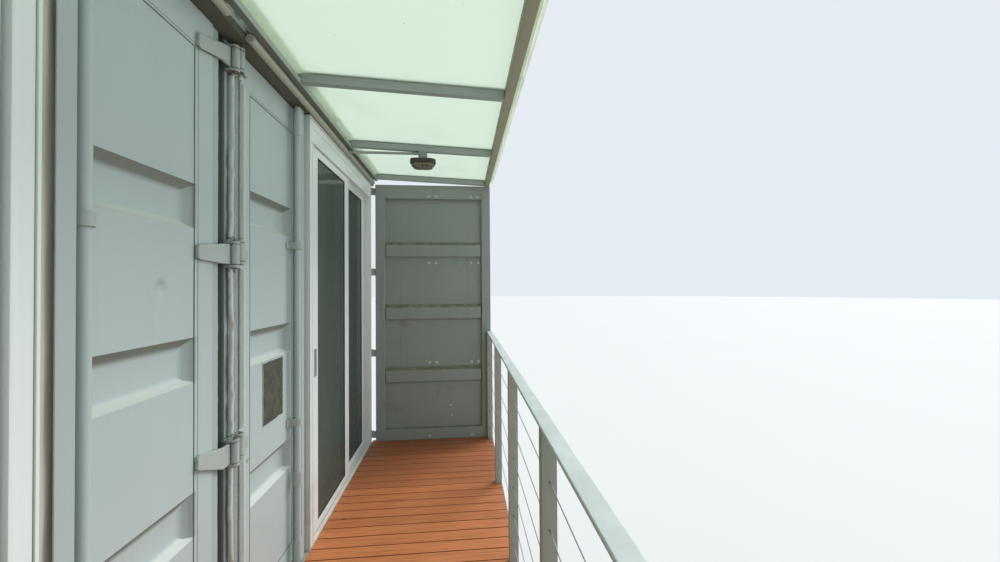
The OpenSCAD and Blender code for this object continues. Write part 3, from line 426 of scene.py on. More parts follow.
def door_glass(name, tone):
    """Tinted door glass with faint wipe marks."""
    f = Finish(name)
    marks = f.clouds(3, 5, stretch=(1, 1, 0.4)).rise(0.45, 0.8)
    # painted reflection: a pale grey base on the glass stands for what it reflects and what shows through it
    base = f.darker(shade(124, 134, 127), 0.85 + 0.2 * f.clouds(1.0, 4, stretch=(30, 30, 1.2)))
    f.coat(base, 0.03 + 0.06 * marks, ior=1.5)
    return f.over("ShaderNodeBsdfTransparent", tone, 0.64 - 0.12 * marks)


def milky_sheet(name, tone):
    """Milky canopy sheets with fine ribs, greenish stains and spots of leaf litter."""
    f = Finish(name)
    stain = f.clouds(2.4, 6, 0.62).rise(0.52, 0.86) * 0.5
    spots = f.cells(17).fall(0.03, 0.09) * f.clouds(6, 3).rise(0.5, 0.62)
    base = f.mix(stain * 0.5, tone, shade(206, 214, 170))
    base = f.mix(spots * 0.55, base, colours().grime)
    f.coat(base, 0.42 + 0.2 * stain, f.waves("X", 28.0) * 0.4 + stain, 0.0005, ior=1.45)
    return f.over("ShaderNodeBsdfTranslucent", shade(240, 248, 238), 0.72 - 0.25 * stain - 0.5 * spots)


def lit_flashing(name, tone):
    """Thin folded flashing that the sun shines through, with dirt along its folds."""
    f = Finish(name)
    dirt = f.clouds(1.0, 5, stretch=(9, 3, 3)).rise(0.45, 0.8)
    f.coat(f.mix(dirt * 0.5, tone, colours().grime), 0.45 + 0.2 * dirt, f.clouds(90, 3), 0.0004)
    return f.over("ShaderNodeBsdfTranslucent", shade(250, 251, 244), 0.66 - 0.3 * dirt)


def bare_metal(name, tone, rough):
    """Bare metal with fine drawn lines and cloudy dulling."""
    f = Finish(name)
    lines = f.clouds(1.0, 3, 0.6, stretch=(8, 300, 300))
    cloud = f.clouds(7, 4)
    roughness = rough + 0.2 * cloud + 0.1 * lines
    return f.coat(f.darker(tone, 0.85 + 0.25 * cloud), roughness, lines, 0.0002, metallic=0.9)


def ply_floor(name, tone):
    """Worn plywood with long grain and scuffs."""
    f = Finish(name)
    grain = f.clouds(1.0, 6, 0.6, stretch=(60, 3, 10))
    scuff = f.clouds(4, 6, 0.7).rise(0.5, 0.8)
    base = f.mix(grain.rise(0.3, 0.7), tone, shade(112, 84, 58))
    base = f.mix(scuff * 0.4, base, shade(92, 80, 68))
    return f.coat(base, 0.55 + 0.25 * scuff, grain, 0.0008)


def woven(name, tone):
    """Plain woven curtain cloth."""
    f = Finish(name)
    threads = 160.0
    weave = f.waves("X", threads).largest(f.waves("Z", threads))
    base = f.darker(tone, 0.86 + 0.12 * weave + 0.1 * f.clouds(5, 4))
    return f.coat(base, 0.9, weave, 0.0004, sheen_weight=0.3)


def plain_plastic(name, tone, rough):
    """Plastic or rubber with a faint grain."""
    f = Finish(name)
    cloud = f.clouds(30, 4)
    return f.coat(f.darker(tone, 0.88 + 0.2 * cloud), rough + 0.2 * cloud, f.clouds(200, 3), 0.0003)


# each finish: its maker, its tone as one of the panel's colours or as chart numbers, and the maker's own values
FINISHES = {
    "door_paint": (painted, "door_paint", dict(wear=0.35, rusty=0.12, rough=0.42)),
    # leaf paint with lips: a painted highlight on the bands' upward flanks and painted shade on their downward and end
    # flanks
    "leaf_paint": (painted, "door_paint", dict(wear=0.35, rusty=0.12, rough=0.42, lips=0.9)),
    "roof_paint": (painted, "door_paint", dict(wear=0.35, green=0.05)),
    "shell_paint": (painted, "door_paint", dict(wear=0.8, green=0.15, rusty=0.35, rough=0.48)),
    # corner posts: painted shade deep in the joint's channel
    "post_paint": (painted, "door_paint", dict(wear=0.8, green=0.15, rusty=0.35, rough=0.48, channel=True)),
    "screen_paint": (painted, "screen_paint", dict(wear=0.9, green=0.75, rough=0.6)),
    "header_paint": (painted, "header", dict(wear=1.0, green=0.3, rusty=0.6, rough=0.6)),
    "beam_paint": (painted, "beam", dict(wear=0.9, green=0.5)),
    "steel_paint": (painted, "steelwork", dict(rusty=0.3)),
    "rail_paint": (painted, "rail_steel", dict(wear=0.4, rough=0.42, brush=0.4)),
    "cap_paint": (painted, "rail_cap", dict(wear=0.3, rusty=0.06, rough=0.36, brush=0.4)),
    "canopy_paint": (painted, "canopy_steel", dict(green=0.15, rusty=0.16, rough=0.45, brush=0.5)),
    # ledger paint with lips: painted shade on the ledger's underside and a painted highlight on its top
    "ledger_paint": (painted, "canopy_steel", dict(wear=0.6, green=0.3, rusty=0.16, lips=0.9)),
    "lip_paint": (painted, (170, 171, 154), dict(wear=0.9, green=0.3, rusty=0.15, rough=0.6)),
    "drip_paint": (painted, (184, 190, 174), dict(wear=0.7, green=0.1, rusty=0.1)),
    "trim_paint": (painted, (172, 184, 183), dict(wear=0.4, rusty=0.12, rough=0.45)),
    "filler_paint": (painted, (196, 193, 178), dict(wear=0.9, green=0.1, rusty=0.5, rough=0.7)),
    "seam_line": (painted, (112, 122, 122), dict(rusty=0.3, rough=0.6)),
    "cover_paint": (painted, "seal", dict(rusty=0.3, rough=0.6)),
    "seal_paint": (painted, (168, 180, 176), dict(wear=0.4, rusty=0.1, rough=0.6)),
    # painted shade: the same painted rubber as the seals, toned darker, with its own bare patches and cracks
    "dull_seal": (brushed_seal, (156, 165, 160), {}),
    "gear_paint": (forged, (172, 180, 175), {}),
    "bolt_paint": (forged, (192, 198, 192), {}),
    "pin_steel": (forged, (104, 98, 92), {}),
    "dark_plate": (mottled_plate, (64, 67, 60), {}),
    "deck_stain": (stained_boards, "timber", {}),
    "plywood": (ply_floor, (150, 118, 84), {}),
    "frame_white": (powder_white, "frame_white", {}),
    "door_glass": (door_glass, "glass_tint", {}),
    "milky_sheet": (milky_sheet, "canopy_sheet", {}),
    "flashing": (lit_flashing, (240, 243, 234), {}),
    "curtain": (woven, (232, 214, 180), {}),
    "wire_steel": (bare_metal, (176, 178, 176), dict(rough=0.28)),
    "bolt_steel": (bare_metal, (116, 112, 106), dict(rough=0.38)),
    "screw_steel": (bare_metal, (150, 146, 138), dict(rough=0.35)),
    "pull_metal": (bare_metal, (200, 203, 201), dict(rough=0.25)),
    "rubber": (plain_plastic, (34, 34, 33), dict(rough=0.55)),
    "old_gasket": (plain_plastic, (112, 108, 92), dict(rough=0.7)),
    "lamp_body": (plain_plastic, "lamp_body", dict(rough=0.35)),
    "lamp_glass": (plain_plastic, (128, 118, 100), dict(rough=0.2)),
    "lamp_grey": (plain_plastic, (134, 140, 137), dict(rough=0.45)),
    "conduit": (plain_plastic, (160, 165, 162), dict(rough=0.4)),
}
_made = {}


def finish(name):
    """The finish of that name, made once."""
    if name not in _made:
        maker, tone, values = FINISHES[name]
        tone = getattr(colours(), tone) if isinstance(tone, str) else shade(*tone)
        _made[name] = maker(name, tone, **values)
    return _made[name]


# CAD nodes and new pieces


def soften(obj, width, segments, angle):
    """Rounds the edges that turn by more than an angle in degrees."""
    soft = obj.modifiers.new("soft_edges", "BEVEL")
    soft.width, soft.segments = width, segments
    soft.limit_method, soft.angle_limit = "ANGLE", math.radians(angle)


def dress(nodes, finish_name, round_by=None, segments=2):
    """Gives CAD nodes, named with spaces between, their finish and softens their edges."""
    width = sizes().edge_round if round_by is None else round_by
    for node in nodes.split():
        obj = NODES[node]
        for slot in obj.material_slots:
            slot.material = finish(finish_name)
        if not obj.material_slots:
            obj.data.materials.append(finish(finish_name))
        if width:
            obj.modifiers.new("weld", "WELD").merge_threshold = MERGE
            soften(obj, width, segments, 35)
            obj.modifiers.new("normals", "WEIGHTED_NORMAL").keep_sharp = False


def in_scene(name, data):
    """A new object in the scene."""
    obj = bpy.data.objects.new(name, data)
    bpy.context.scene.collection.objects.link(obj)
    return obj


def piece(name, bm, finish_name, body=ROOT, slot=None, instead_of=(), smooth_angle=35.0):
    """Makes an object of a finished mesh, gives it its finish and lets it ride on a body."""
    bmesh.ops.recalc_face_normals(bm, faces=bm.faces[:])
    limit = math.radians(smooth_angle)
    for face in bm.faces:
        face.smooth = True
    for edge in bm.edges:
        if len(edge.link_faces) == 2:
            edge.smooth = edge.calc_face_angle(0.0) < limit
    mesh = bpy.data.meshes.new(name)
    bm.to_mesh(mesh)
    bm.free()
    mesh.materials.append(finish(finish_name))
    obj = in_scene(name, mesh)
    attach(obj, body)
    if instead_of:
        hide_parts(*instead_of)
    return obj


def block(bm, low, high, round_by=0.0):
    """A bar between two corners, with rounded edges."""
    low, high = Vector(low), Vector(high)
    made = bmesh.ops.create_cube(bm, size=1.0)
    for v in made["verts"]:
        v.co = Vector(low[i] + (v.co[i] + 0.5) * (high[i] - low[i]) for i in range(3))
    if round_by:
        edges = dict.fromkeys(e for v in made["verts"] for e in v.link_edges)
        bmesh.ops.bevel(bm, geom=list(edges), offset=round_by, segments=2, affect="EDGES", profile=0.6)


def skin(bm, rows, caps=True, ring=False):
    """Joins rows of points, each a closed loop, into a skin; ring joins the last row to the first."""
    pairs = list(zip(rows, rows[1:])) + ([(rows[-1], rows[0])] if ring else [])
    for lower, upper in pairs:
        for k in range(len(lower)):
            n = (k + 1) % len(lower)
            bm.faces.new((lower[k], lower[n], upper[n], upper[k]))
    if caps and not ring:
        bm.faces.new(rows[0][::-1])
        bm.faces.new(rows[-1])


def circle(centre, side, other, radius, around):
    """Points round a circle in the plane of two directions."""
    turns = (2 * math.pi * k / around for k in range(around))
    return [centre + (side * math.cos(a) + other * math.sin(a)) * radius for a in turns]


def turned(bm, centre, axis, profile, around=16):
    """A turned form: profile is a list of (distance along the axis, radius), closed at both ends."""
    axis = Vector(axis).normalized()
    side = axis.orthogonal().normalized()
    other = axis.cross(side)
    rings = [circle(Vector(centre) + axis * along, side, other, radius, around) for along, radius in profile]
    skin(bm, [[bm.verts.new(p) for p in ring] for ring in rings])


def bolt(bm, centre, axis, width):
    """A hexagon head on a washer."""
    turned(bm, centre, axis, [(0, width * 0.85), (width * 0.1, width * 0.85), (width * 0.14, width * 0.75)], 20)
    turned(bm, centre, axis, [(0, width / 2), (width * 0.5, width / 2), (width * 0.58, width * 0.42)], 6)


def screw(bm, centre, width):
    """A countersunk screw head with its recess."""
    r = width / 2
    turned(bm, centre, Z, [(-0.001, r), (0.0004, r), (0.0007, r * 0.8), (0.0005, r * 0.34), (-0.0004, r * 0.28)], 12)


def rope(bm, points, radius, around=8, closed=False):
    """A round bar or weld bead along a line of points; radius is a number or one for each point."""
    pts = [Vector(p) for p in points]
    radii = radius if hasattr(radius, "__len__") else [radius] * len(pts)
    rings = []
    side = None
    for i, p in enumerate(pts):
        before = pts[i - 1] if i or closed else p
        after = pts[(i + 1) % len(pts)] if i + 1 < len(pts) or closed else p
        along = (after - before).normalized()
        side = (along.orthogonal() if side is None else side - along * side.dot(along)).normalized()
        rings.append([bm.verts.new(q) for q in circle(p, side, along.cross(side), radii[i], around)])
    skin(bm, rings, ring=closed)


def bead(bm, start, end, radius, rng, step=0.012):
    """A lumpy weld bead from start to end."""
    start, end = Vector(start), Vector(end)
    n = max(3, int((end - start).length / step))
    points = [
        start.lerp(end, i / n) + Vector([rng.uniform(-1, 1) for _ in range(3)]) * radius * 0.12 for i in range(n + 1)
    ]
    rope(bm, points, [radius * rng.uniform(0.75, 1.15) for _ in points], 6)


def cut_across(bm, axis, place):
    """Cuts the faces that a plane across an axis meets."""
    plane, normal = Vector(), Vector()
    plane[axis], normal[axis] = place, 1
    near = [f for f in bm.faces if min(v.co[axis] for v in f.verts) < plane[axis] < max(v.co[axis] for v in f.verts)]
    edges, verts = (dict.fromkeys(part for f in near for part in getattr(f, kind)) for kind in ("edges", "verts"))
    bmesh.ops.bisect_plane(bm, geom=[*near, *edges, *verts], plane_co=plane, plane_no=normal, dist=1e-5)


def leaf_copy(node, name, finish_name, slot, flat_axis, dents=(), grid=0.045):
    """A leaf's own shape with its skin cut fine, slightly out of flat and dented, in place of the node."""
    bm = bmesh.new()
    bm.from_mesh(NODES[node].data)
    bmesh.ops.remove_doubles(bm, verts=bm.verts, dist=MERGE)
    bmesh.ops.dissolve_limit(bm, angle_limit=math.radians(1), verts=bm.verts, edges=bm.edges)
    low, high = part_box(node)
    floor, close = max(abs(low[flat_axis]), abs(high[flat_axis])) - BAND_FLOOR, 0.001
    creases = [
        e for e in bm.edges if not e.is_convex and all(abs(abs(v.co[flat_axis]) - floor) < close for v in e.verts)
    ]
    bmesh.ops.bevel(bm, geom=creases, offset=sizes().band_round, segments=4, profile=0.5, affect="EDGES")
    small_dent = 0.06
    for axis in range(3):
        if axis == flat_axis:
            continue
        lines = int((high[axis] - low[axis]) / grid)
        cuts = [low[axis] + (high[axis] - low[axis]) * i / lines for i in range(1, lines)]
        for centre, radius, _ in dents:
            if radius < small_dent:
                cuts += [centre[axis] + radius * k / 5 for k in range(-5, 6)]
        for cut in cuts:
            cut_across(bm, axis, cut)
    swell = sizes().swell
    for v in bm.verts:
        soft = noise.noise(v.co * 2.3) + 0.5 * noise.noise(v.co * 5.1 + Vector((7, 3, 1)))
        v.co[flat_axis] += soft * swell * 0.5
        for centre, radius, depth in dents:
            away = (v.co - Vector(centre)).length / radius
            if away < 1:
                v.co[flat_axis] += depth * (1 - away * away) ** 2
    for v in bm.verts:
        for axis in range(3):
            v.co[axis] = min(max(v.co[axis], low[axis]), high[axis])
    obj = piece(name, bm, finish_name, slot=slot, instead_of=(node,), smooth_angle=22)
    soften(obj, sizes().edge_round * 1.5, 2, 24)


# operators


class CABIN_OT_steelwork(bpy.types.Operator):
    """Columns, beams, braces and base plates with their anchor bolts"""

    bl_idname = "cabin.steelwork"
    bl_label = "Steelwork"

    def execute(self, context):
        dress("base_plates support_columns cross_beams long_beams knee_braces deck_frame", "steel_paint")
        low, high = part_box("base_plates")
        plate_top, weld_line, weld, nut = 0.020, 0.021, 0.005, 0.030
        large, small = 0.300, 0.220
        # each row of feet: its middle, the plates' width, and half the bolts' spacing and half the column's width
        rows = (
            (high.y - large / 2, large, 0.110, 0.075),
            (LEAF_Y + 0.085, large, 0.110, 0.075),
            (low.y + small / 2, small, 0.080, 0.050),
        )
        signs = ((-1, -1), (-1, 1), (1, -1), (1, 1))
        rng = random.Random(4)
        bolts, welds = bmesh.new(), bmesh.new()
        for y, side, pitch, column in rows:
            for x in (low.x + side / 2, 0.0, high.x - side / 2):
                for sx, sy in signs:
                    foot = Vector((x + sx * pitch, y + sy * pitch, plate_top))
                    bolt(bolts, foot, Z, nut)
                    turned(bolts, foot, Z, [(0.010, 0.009), (0.044, 0.009), (0.047, 0.007)], 12)
                around = ((-1, -1), (1, -1), (1, 1), (-1, 1))
                corners = [Vector((x + sx * column, y + sy * column, weld_line)) for sx, sy in around]
                for start, end in zip(corners, corners[1:] + corners[:1]):
                    bead(welds, start, end, weld, rng)
        piece("anchor_bolts", bolts, "bolt_steel")
        piece("foot_welds", welds, "steel_paint")
        return {"FINISHED"}


class CABIN_OT_shells(bpy.types.Operator):
    """Container shells, floors and roofs"""

    bl_idname = "cabin.shells"
    bl_label = "Container shells"

    def execute(self, context):
        dress("top_rails bottom_rails door_sills rear_rails", "shell_paint")
        dress("corner_castings", "shell_paint", 0.004, 3)
        dress("side_walls rear_walls", "shell_paint", 0.0)
        dress("roof_panels", "roof_paint", 0.0)
        dress("corner_posts", "post_paint")
        dress("door_headers", "header_paint")
        dress("floor_bearers", "steel_paint")
        dress("floor_panels", "plywood")
        dress("drip_rails", "drip_paint", 0.003)
        self.lips()
        return {"FINISHED"}

    def lips(self):
        """Rolled lips along the lower edge of the two headers, thick with paint."""
        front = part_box("door_headers")[0].y
        low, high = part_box("drip_rails")
        radius, height, step = 0.018, 2.603, 0.06
        gap = (-0.190, -0.025)
        bm = bmesh.new()
        for start, end in ((low.x, gap[0]), (gap[1], high.x)):
            steps = int((end - start) / step)
            places = [start + (end - start) * i / steps for i in range(steps + 1)]
            points = [Vector((x, front - radius, DECK + height)) for x in places]
            rope(bm, points, [radius * (1 + 0.05 * noise.noise(p * 9)) for p in points], 20)
        piece("drip_lips", bm, "lip_paint", slot="drip_paint", smooth_angle=60)


class CABIN_OT_leaves(bpy.types.Operator):
    """The four door leaves with dents, seams and bolts"""

    bl_idname = "cabin.leaves"
    bl_label = "Door leaves"

    def execute(self, context):
        d = sizes().dent
        # each dent: its middle, its radius and its depth
        dents_a = [
            (spot(-0.394, 0.0, 1.555), 0.036, d * 1.3),
            (spot(-0.30, 0.0, 2.15), 0.09, d * 0.4),
            (spot(-0.55, 0.0, 0.95), 0.12, d * 0.35),
            (spot(-0.45, 0.0, 0.36), 0.08, d * 0.5),
        ]
        dents_b = [(spot(0.40, 0.0, 1.62), 0.10, d * 0.5), (spot(0.25, 0.0, 0.35), 0.09, d * 0.5)]
        leaf_copy("cut_leaf_a", "dented_leaf_a", "leaf_paint", "leaf_paint", 1, dents_a)
        leaf_copy("cut_leaf_b", "dented_leaf_b", "leaf_paint", "leaf_paint", 1, dents_b)
        leaf_copy("end_screens", "weathered_screens", "screen_paint", "leaf_paint", 0)
        self.seams()
        self.bolts()
        dress("leaf_plate", "dark_plate", 0.0)
        self.ragged_paint()
        return {"FINISHED"}

    def ragged_paint(self):
        """The torn edge of the leaf's paint over the edge of the dark plate."""
        low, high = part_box("leaf_plate")
        steps, least, rim = 40, 0.001, 0.002
        corners = [(low.x, low.z), (high.x, low.z), (high.x, high.z), (low.x, high.z)]
        middle = Vector(((low.x + high.x) / 2, (low.z + high.z) / 2))
        outer, inner = [], []
        for i, (x, z) in enumerate(corners):
            nx, nz = corners[(i + 1) % 4]
            for k in range(steps):
                point = Vector((x + (nx - x) * k / steps, z + (nz - z) * k / steps))
                inward = (middle - point).normalized()
                ragged = least + 0.007 * abs(noise.noise(Vector((point.x * 42, 3, point.y * 42))))
                if i == 0:
                    ragged += 0.006 * noise.noise(Vector((point.x * 25, 1, 0)))
                outer.append(point - inward * rim)
                inner.append(point + inward * max(least, ragged))
        bm = bmesh.new()
        y = low.y - 0.0006
        rings = ((outer, 0.0012), (outer, 0.0), (inner, 0.0), (inner, 0.0010))
        skin(bm, [[bm.verts.new((p.x, y + lift, p.y)) for p in ring] for ring, lift in rings], caps=False)
        piece("ragged_paint", bm, "door_paint", slot="leaf_paint")

    def seams(self):
        """Weld lines of the skins: the seam beside each hinge stile and the ones at top and foot."""
        bm = bmesh.new()
        w = sizes().seam / 2
        across, upright, back = 0.0008, 0.0006, -0.003
        sill = 0.006
        top, foot = sill + LEAF_H - 0.149, sill + 0.110
        left, right = (-0.742, -0.237), (0.144, 0.592)
        for x0, x1 in (left, right):
            for up in (top, foot):
                block(bm, spot(x0, across, up - w), spot(x1, back, up + w))
        for x, width in ((left[1], w), (right[0], w * 0.4)):
            block(bm, spot(x - width, upright, foot), spot(x + width, back, top))
        piece("leaf_seams", bm, "seam_line")
        # short scars of old welds on the leaves
        bm = bmesh.new()
        rng = random.Random(23)
        for x, up in ((-0.662, 1.37), (-0.655, 1.18), (-0.60, 0.71), (0.121, 0.78)):
            for k in range(4):
                start = spot(x + rng.uniform(-0.01, 0.01), 0.001, up + rng.uniform(-0.012, 0.012))
                end = start + Vector((rng.uniform(-0.012, 0.012), 0, rng.uniform(-0.016, 0.016)))
                bead(bm, start, end, 0.0026, rng, 0.004)
        piece("weld_scars", bm, "gear_paint")

    def bolts(self):
        """Bolts of the straps on the inner sides of the open leaves, and the straps at their top edges."""
        w = sizes().bolt_head
        inner_depth, strap, spacing = 0.045, 0.005, 0.035
        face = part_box("end_screens")[1].x - inner_depth
        # each place on a rod: its height, how far the bolts stand off, and the rod's sides that they are on
        places = ((0.779, strap, (-1, 1)), (1.793, strap, (-1, 1)), (2.472, 0.0, (-1, 1)), (0.034, 0.0, (-1,)))
        bm = bmesh.new()
        for side in (-1, 1):
            for rod in (0.670, 1.098):
                for up, depth, hands in places:
                    for k in hands:
                        out = rod + k * spacing
                        bolt(bm, Vector((side * (face + depth), LEAF_Y - out, DECK + up)), X * -side, w)
            for out, up in ((0.850, 0.342), (0.860, 0.240)):
                bolt(bm, Vector((side * (face + strap), LEAF_Y - out, DECK + up)), X * -side, w * 0.8)
        piece("screen_bolts", bm, "bolt_paint")
        bm = bmesh.new()
        for side in (-1, 1):
            x0, x1 = sorted((side * (face - 0.003), side * (face + 0.001)))
            block(bm, spot(x0, 0.682, 2.452), spot(x1, 0.656, 2.580), 0.001)
        piece("screen_straps", bm, "screen_paint")


class CABIN_OT_seals(bpy.types.Operator):
    """Old painted rubber seals beside the joint of the two containers"""

    bl_idname = "cabin.seals"
    bl_label = "Door seals"

    def execute(self, context):
        rng = random.Random(11)
        low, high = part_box("door_gaskets")
        # a section's points: place along the balcony, distance out, and how far the point wanders
        edge_a = [
            (-0.126, -0.020, 0), (-0.126, -0.010, 0.1), (-0.121, -0.006, 0.1), (-0.108, -0.0075, 0),
            (-0.094, -0.006, 0), (-0.082, -0.009, 0.1), (-0.073, -0.014, 0.15), (-0.073, -0.020, 0),
        ]
        cover = [
            (-0.010, -0.012, 0.4), (-0.018, -0.002, 1.0), (-0.0165, 0.006, 1.0), (-0.010, 0.0105, 0.9),
            (-0.004, 0.0090, 0.7), (0.001, 0.0015, 0.3), (0.001, -0.012, 0.1),
        ]
        ridge = [
            (0.0845, -0.004, 0), (0.0845, 0.0010, 0), (0.090, 0.0045, 0.05), (0.098, 0.0058, 0.1),
            (0.1045, 0.0030, 0.15), (0.106, -0.004, 0.1),
        ]
        ribs = [
            (0.0025, -0.012, 0), (0.0025, 0.0035, 0.05), (0.0085, 0.0055, 0), (0.0125, 0.0005, 0), (0.018, 0.0050, 0),
            (0.0255, 0.0052, 0), (0.0305, 0.002, 0), (0.0305, -0.012, 0),
        ]
        flap = [
            (0.0545, -0.004, 0), (0.0545, 0.003, 0), (0.060, 0.0050, 0.05), (0.068, 0.0040, 0.05), (0.072, 0.0010, 0),
            (0.084, 0.0008, 0), (0.084, -0.004, 0),
        ]
        edge_b = [
            (0.0335, -0.012, 0), (0.0335, -0.004, 0), (0.038, -0.0015, 0), (0.047, -0.0015, 0), (0.0520, -0.004, 0),
            (0.0520, -0.012, 0),
        ]
        gaps = [(DECK + start, DECK + end) for start, end in HINGE_GAPS]
        behind = [(start - 0.05, end + 0.05) for start, end in gaps]
        soft = {"slot": "seal", "smooth_angle": 60}
        # strip at the cut leaf's hinge stile
        bm = bmesh.new()
        self.strips(bm, rng, [edge_a], [(low.z, high.z)])
        piece("edge_seal", bm, "seal_paint", **soft)
        # torn cover of the joint and the ridge on the other leaf's edge, between the hinges
        bm = bmesh.new()
        self.strips(bm, rng, [cover, ridge], gaps)
        piece("torn_cover", bm, "cover_paint", **soft)
        # the strips beside them, the same painted rubber toned darker as painted shade, one of which runs on behind the
        # hinges
        bm = bmesh.new()
        self.strips(bm, rng, [ribs, flap], gaps)
        self.strips(bm, rng, [edge_b], behind)
        piece("old_seals", bm, "dull_seal", instead_of=("door_gaskets",), **soft)
        self.paint_lumps(rng)
        return {"FINISHED"}

    def strips(self, bm, rng, sections, spans):
        """Soft strips whose torn edges wander up their length."""
        wave, step, tremble = sizes().seal_wave, 0.009, 0.0005
        for start, end in spans:
            for section in sections:
                steps = max(6, int((end - start) / step))
                rows = []
                for i in range(steps + 1):
                    z = start + (end - start) * i / steps
                    drift = noise.noise(Vector((1.3, 0, z * 3.3))) + 0.5 * noise.noise(Vector((2.1, 4, z * 9.0)))
                    torn = max(0.0, noise.noise(Vector((5.0, 9, z * 17.0))) - 0.1) * 1.2
                    torn += abs(noise.noise(Vector((8.0, 2, z * 46.0)))) * 0.45
                    row = []
                    for x, out, sway in section:
                        shake = rng.uniform(-1, 1) * tremble if sway else 0
                        row.append(bm.verts.new((x + sway * wave * (torn + 0.9 * drift), LEAF_Y - out + shake, z)))
                    rows.append(row)
                skin(bm, rows)

    def paint_lumps(self, rng):
        """Lumps of old paint over and under the hinges."""
        near, far = 0.050, 0.062
        bm = bmesh.new()
        for up in (*HINGES_A[1:], *HINGES_B[1:]):
            for k in range(16):
                x = rng.uniform(-0.036, 0.044)
                z = up + rng.choice((-1, 1)) * rng.uniform(near, far)
                if up + far > LEAF_H:
                    z = up - rng.uniform(near, far)
                start = spot(x, rng.uniform(0.003, 0.010), z)
                run = Vector((rng.uniform(-0.008, 0.008), rng.uniform(-0.006, 0.002), rng.uniform(-0.012, 0.012)))
                bead(bm, start, start + run, 0.0042, rng, 0.004)
        piece("paint_lumps", bm, "gear_paint", slot="gear", smooth_angle=60)


class CABIN_OT_gear(bpy.types.Operator):
    """Hinges, locking rods and their straps"""

    bl_idname = "cabin.gear"
    bl_label = "Hinges and rods"

    def execute(self, context):
        self.blades()
        dress("hinge_lugs rod_handles", "gear_paint", 0.002)
        dress("rod_brackets", "gear_paint", 0.0015)
        dress("hinge_pins", "pin_steel", 0.002)
        dress("lock_rods rod_sleeves", "door_paint", 0.002)
        dress("edge_trims", "trim_paint", 0.001)
        return {"FINISHED"}

    def blades(self):
        """Forged blades with thick brushed paint, their eyes round the pins."""
        bm = bmesh.new()
        hinge_x, hinge_out, edge_x = 0.020, 0.024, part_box("corner_castings")[1].x
        tall, small = 0.084, 0.078
        for up, drop in zip(HINGES_A, (-0.044, -0.044, 0.007, 0.049)):
            self.blade(bm, spot(-hinge_x, hinge_out, up), -X, -Y, 0.215, tall, drop, -hinge_out)
        for up in HINGES_B:
            self.blade(bm, spot(hinge_x, hinge_out, up), X, -Y, 0.085, small, 0.012, -hinge_out)
            for side in (-1, 1):
                # an open leaf's blade runs out along it, its back on the leaf's outer face
                eye = spot(side * (edge_x - hinge_x), hinge_out, up)
                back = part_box("end_screens")[1].x - (edge_x - hinge_x)
                self.blade(bm, eye, -Y, X * side, 0.245, small, 0.034, back)
        obj = piece("forged_blades", bm, "gear_paint", slot="gear", instead_of=("hinge_blades",), smooth_angle=50)
        soften(obj, 0.003, 3, 40)

    def blade(self, bm, eye, along, outward, arm, height, drop, back):
        """One blade: its arm narrows to a rounded tip that hangs by drop, and its eye is a tube."""
        tip, thick, root, step = height * 0.34, 0.014, 0.014, 0.012
        r = tip * 0.5
        turns = [math.radians(22.5 * k) for k in range(-4, 5)]
        round_tip = [(arm - r + r * math.cos(a), r * math.sin(a) - drop) for a in turns]
        outline = [(root, -height / 2), (arm * 0.3, -height / 2)]
        outline += [(x, z + r - tip) for x, z in round_tip[:5]] + [(x, z + tip - r) for x, z in round_tip[4:]]
        outline += [(arm * 0.25, height / 2 - max(drop, 0) / 4), (root, height / 2)]
        fine = []
        for (x0, z0), (x1, z1) in zip(outline, outline[1:] + outline[:1]):
            n = max(1, int(math.hypot(x1 - x0, z1 - z0) / step))
            fine += [(x0 + (x1 - x0) * k / n, z0 + (z1 - z0) * k / n) for k in range(n)]
        rows = []
        for depth in (0.0, thick):
            row = []
            for x, z in fine:
                lump = 0.0016 * noise.noise(Vector((x * 40 + eye.z * 7, depth * 30, z * 40)))
                row.append(bm.verts.new(eye + along * (x + lump) + outward * (back + depth) + Z * (z + lump)))
            rows.append(row)
        skin(bm, rows)
        outer, bore = 0.016, 0.0085
        tube = ((outer, -height / 2), (outer, height / 2), (bore, height / 2), (bore, -height / 2))
        skin(bm, [[bm.verts.new(p) for p in circle(eye + Z * z, X, Y, radius, 32)] for radius, z in tube], ring=True)


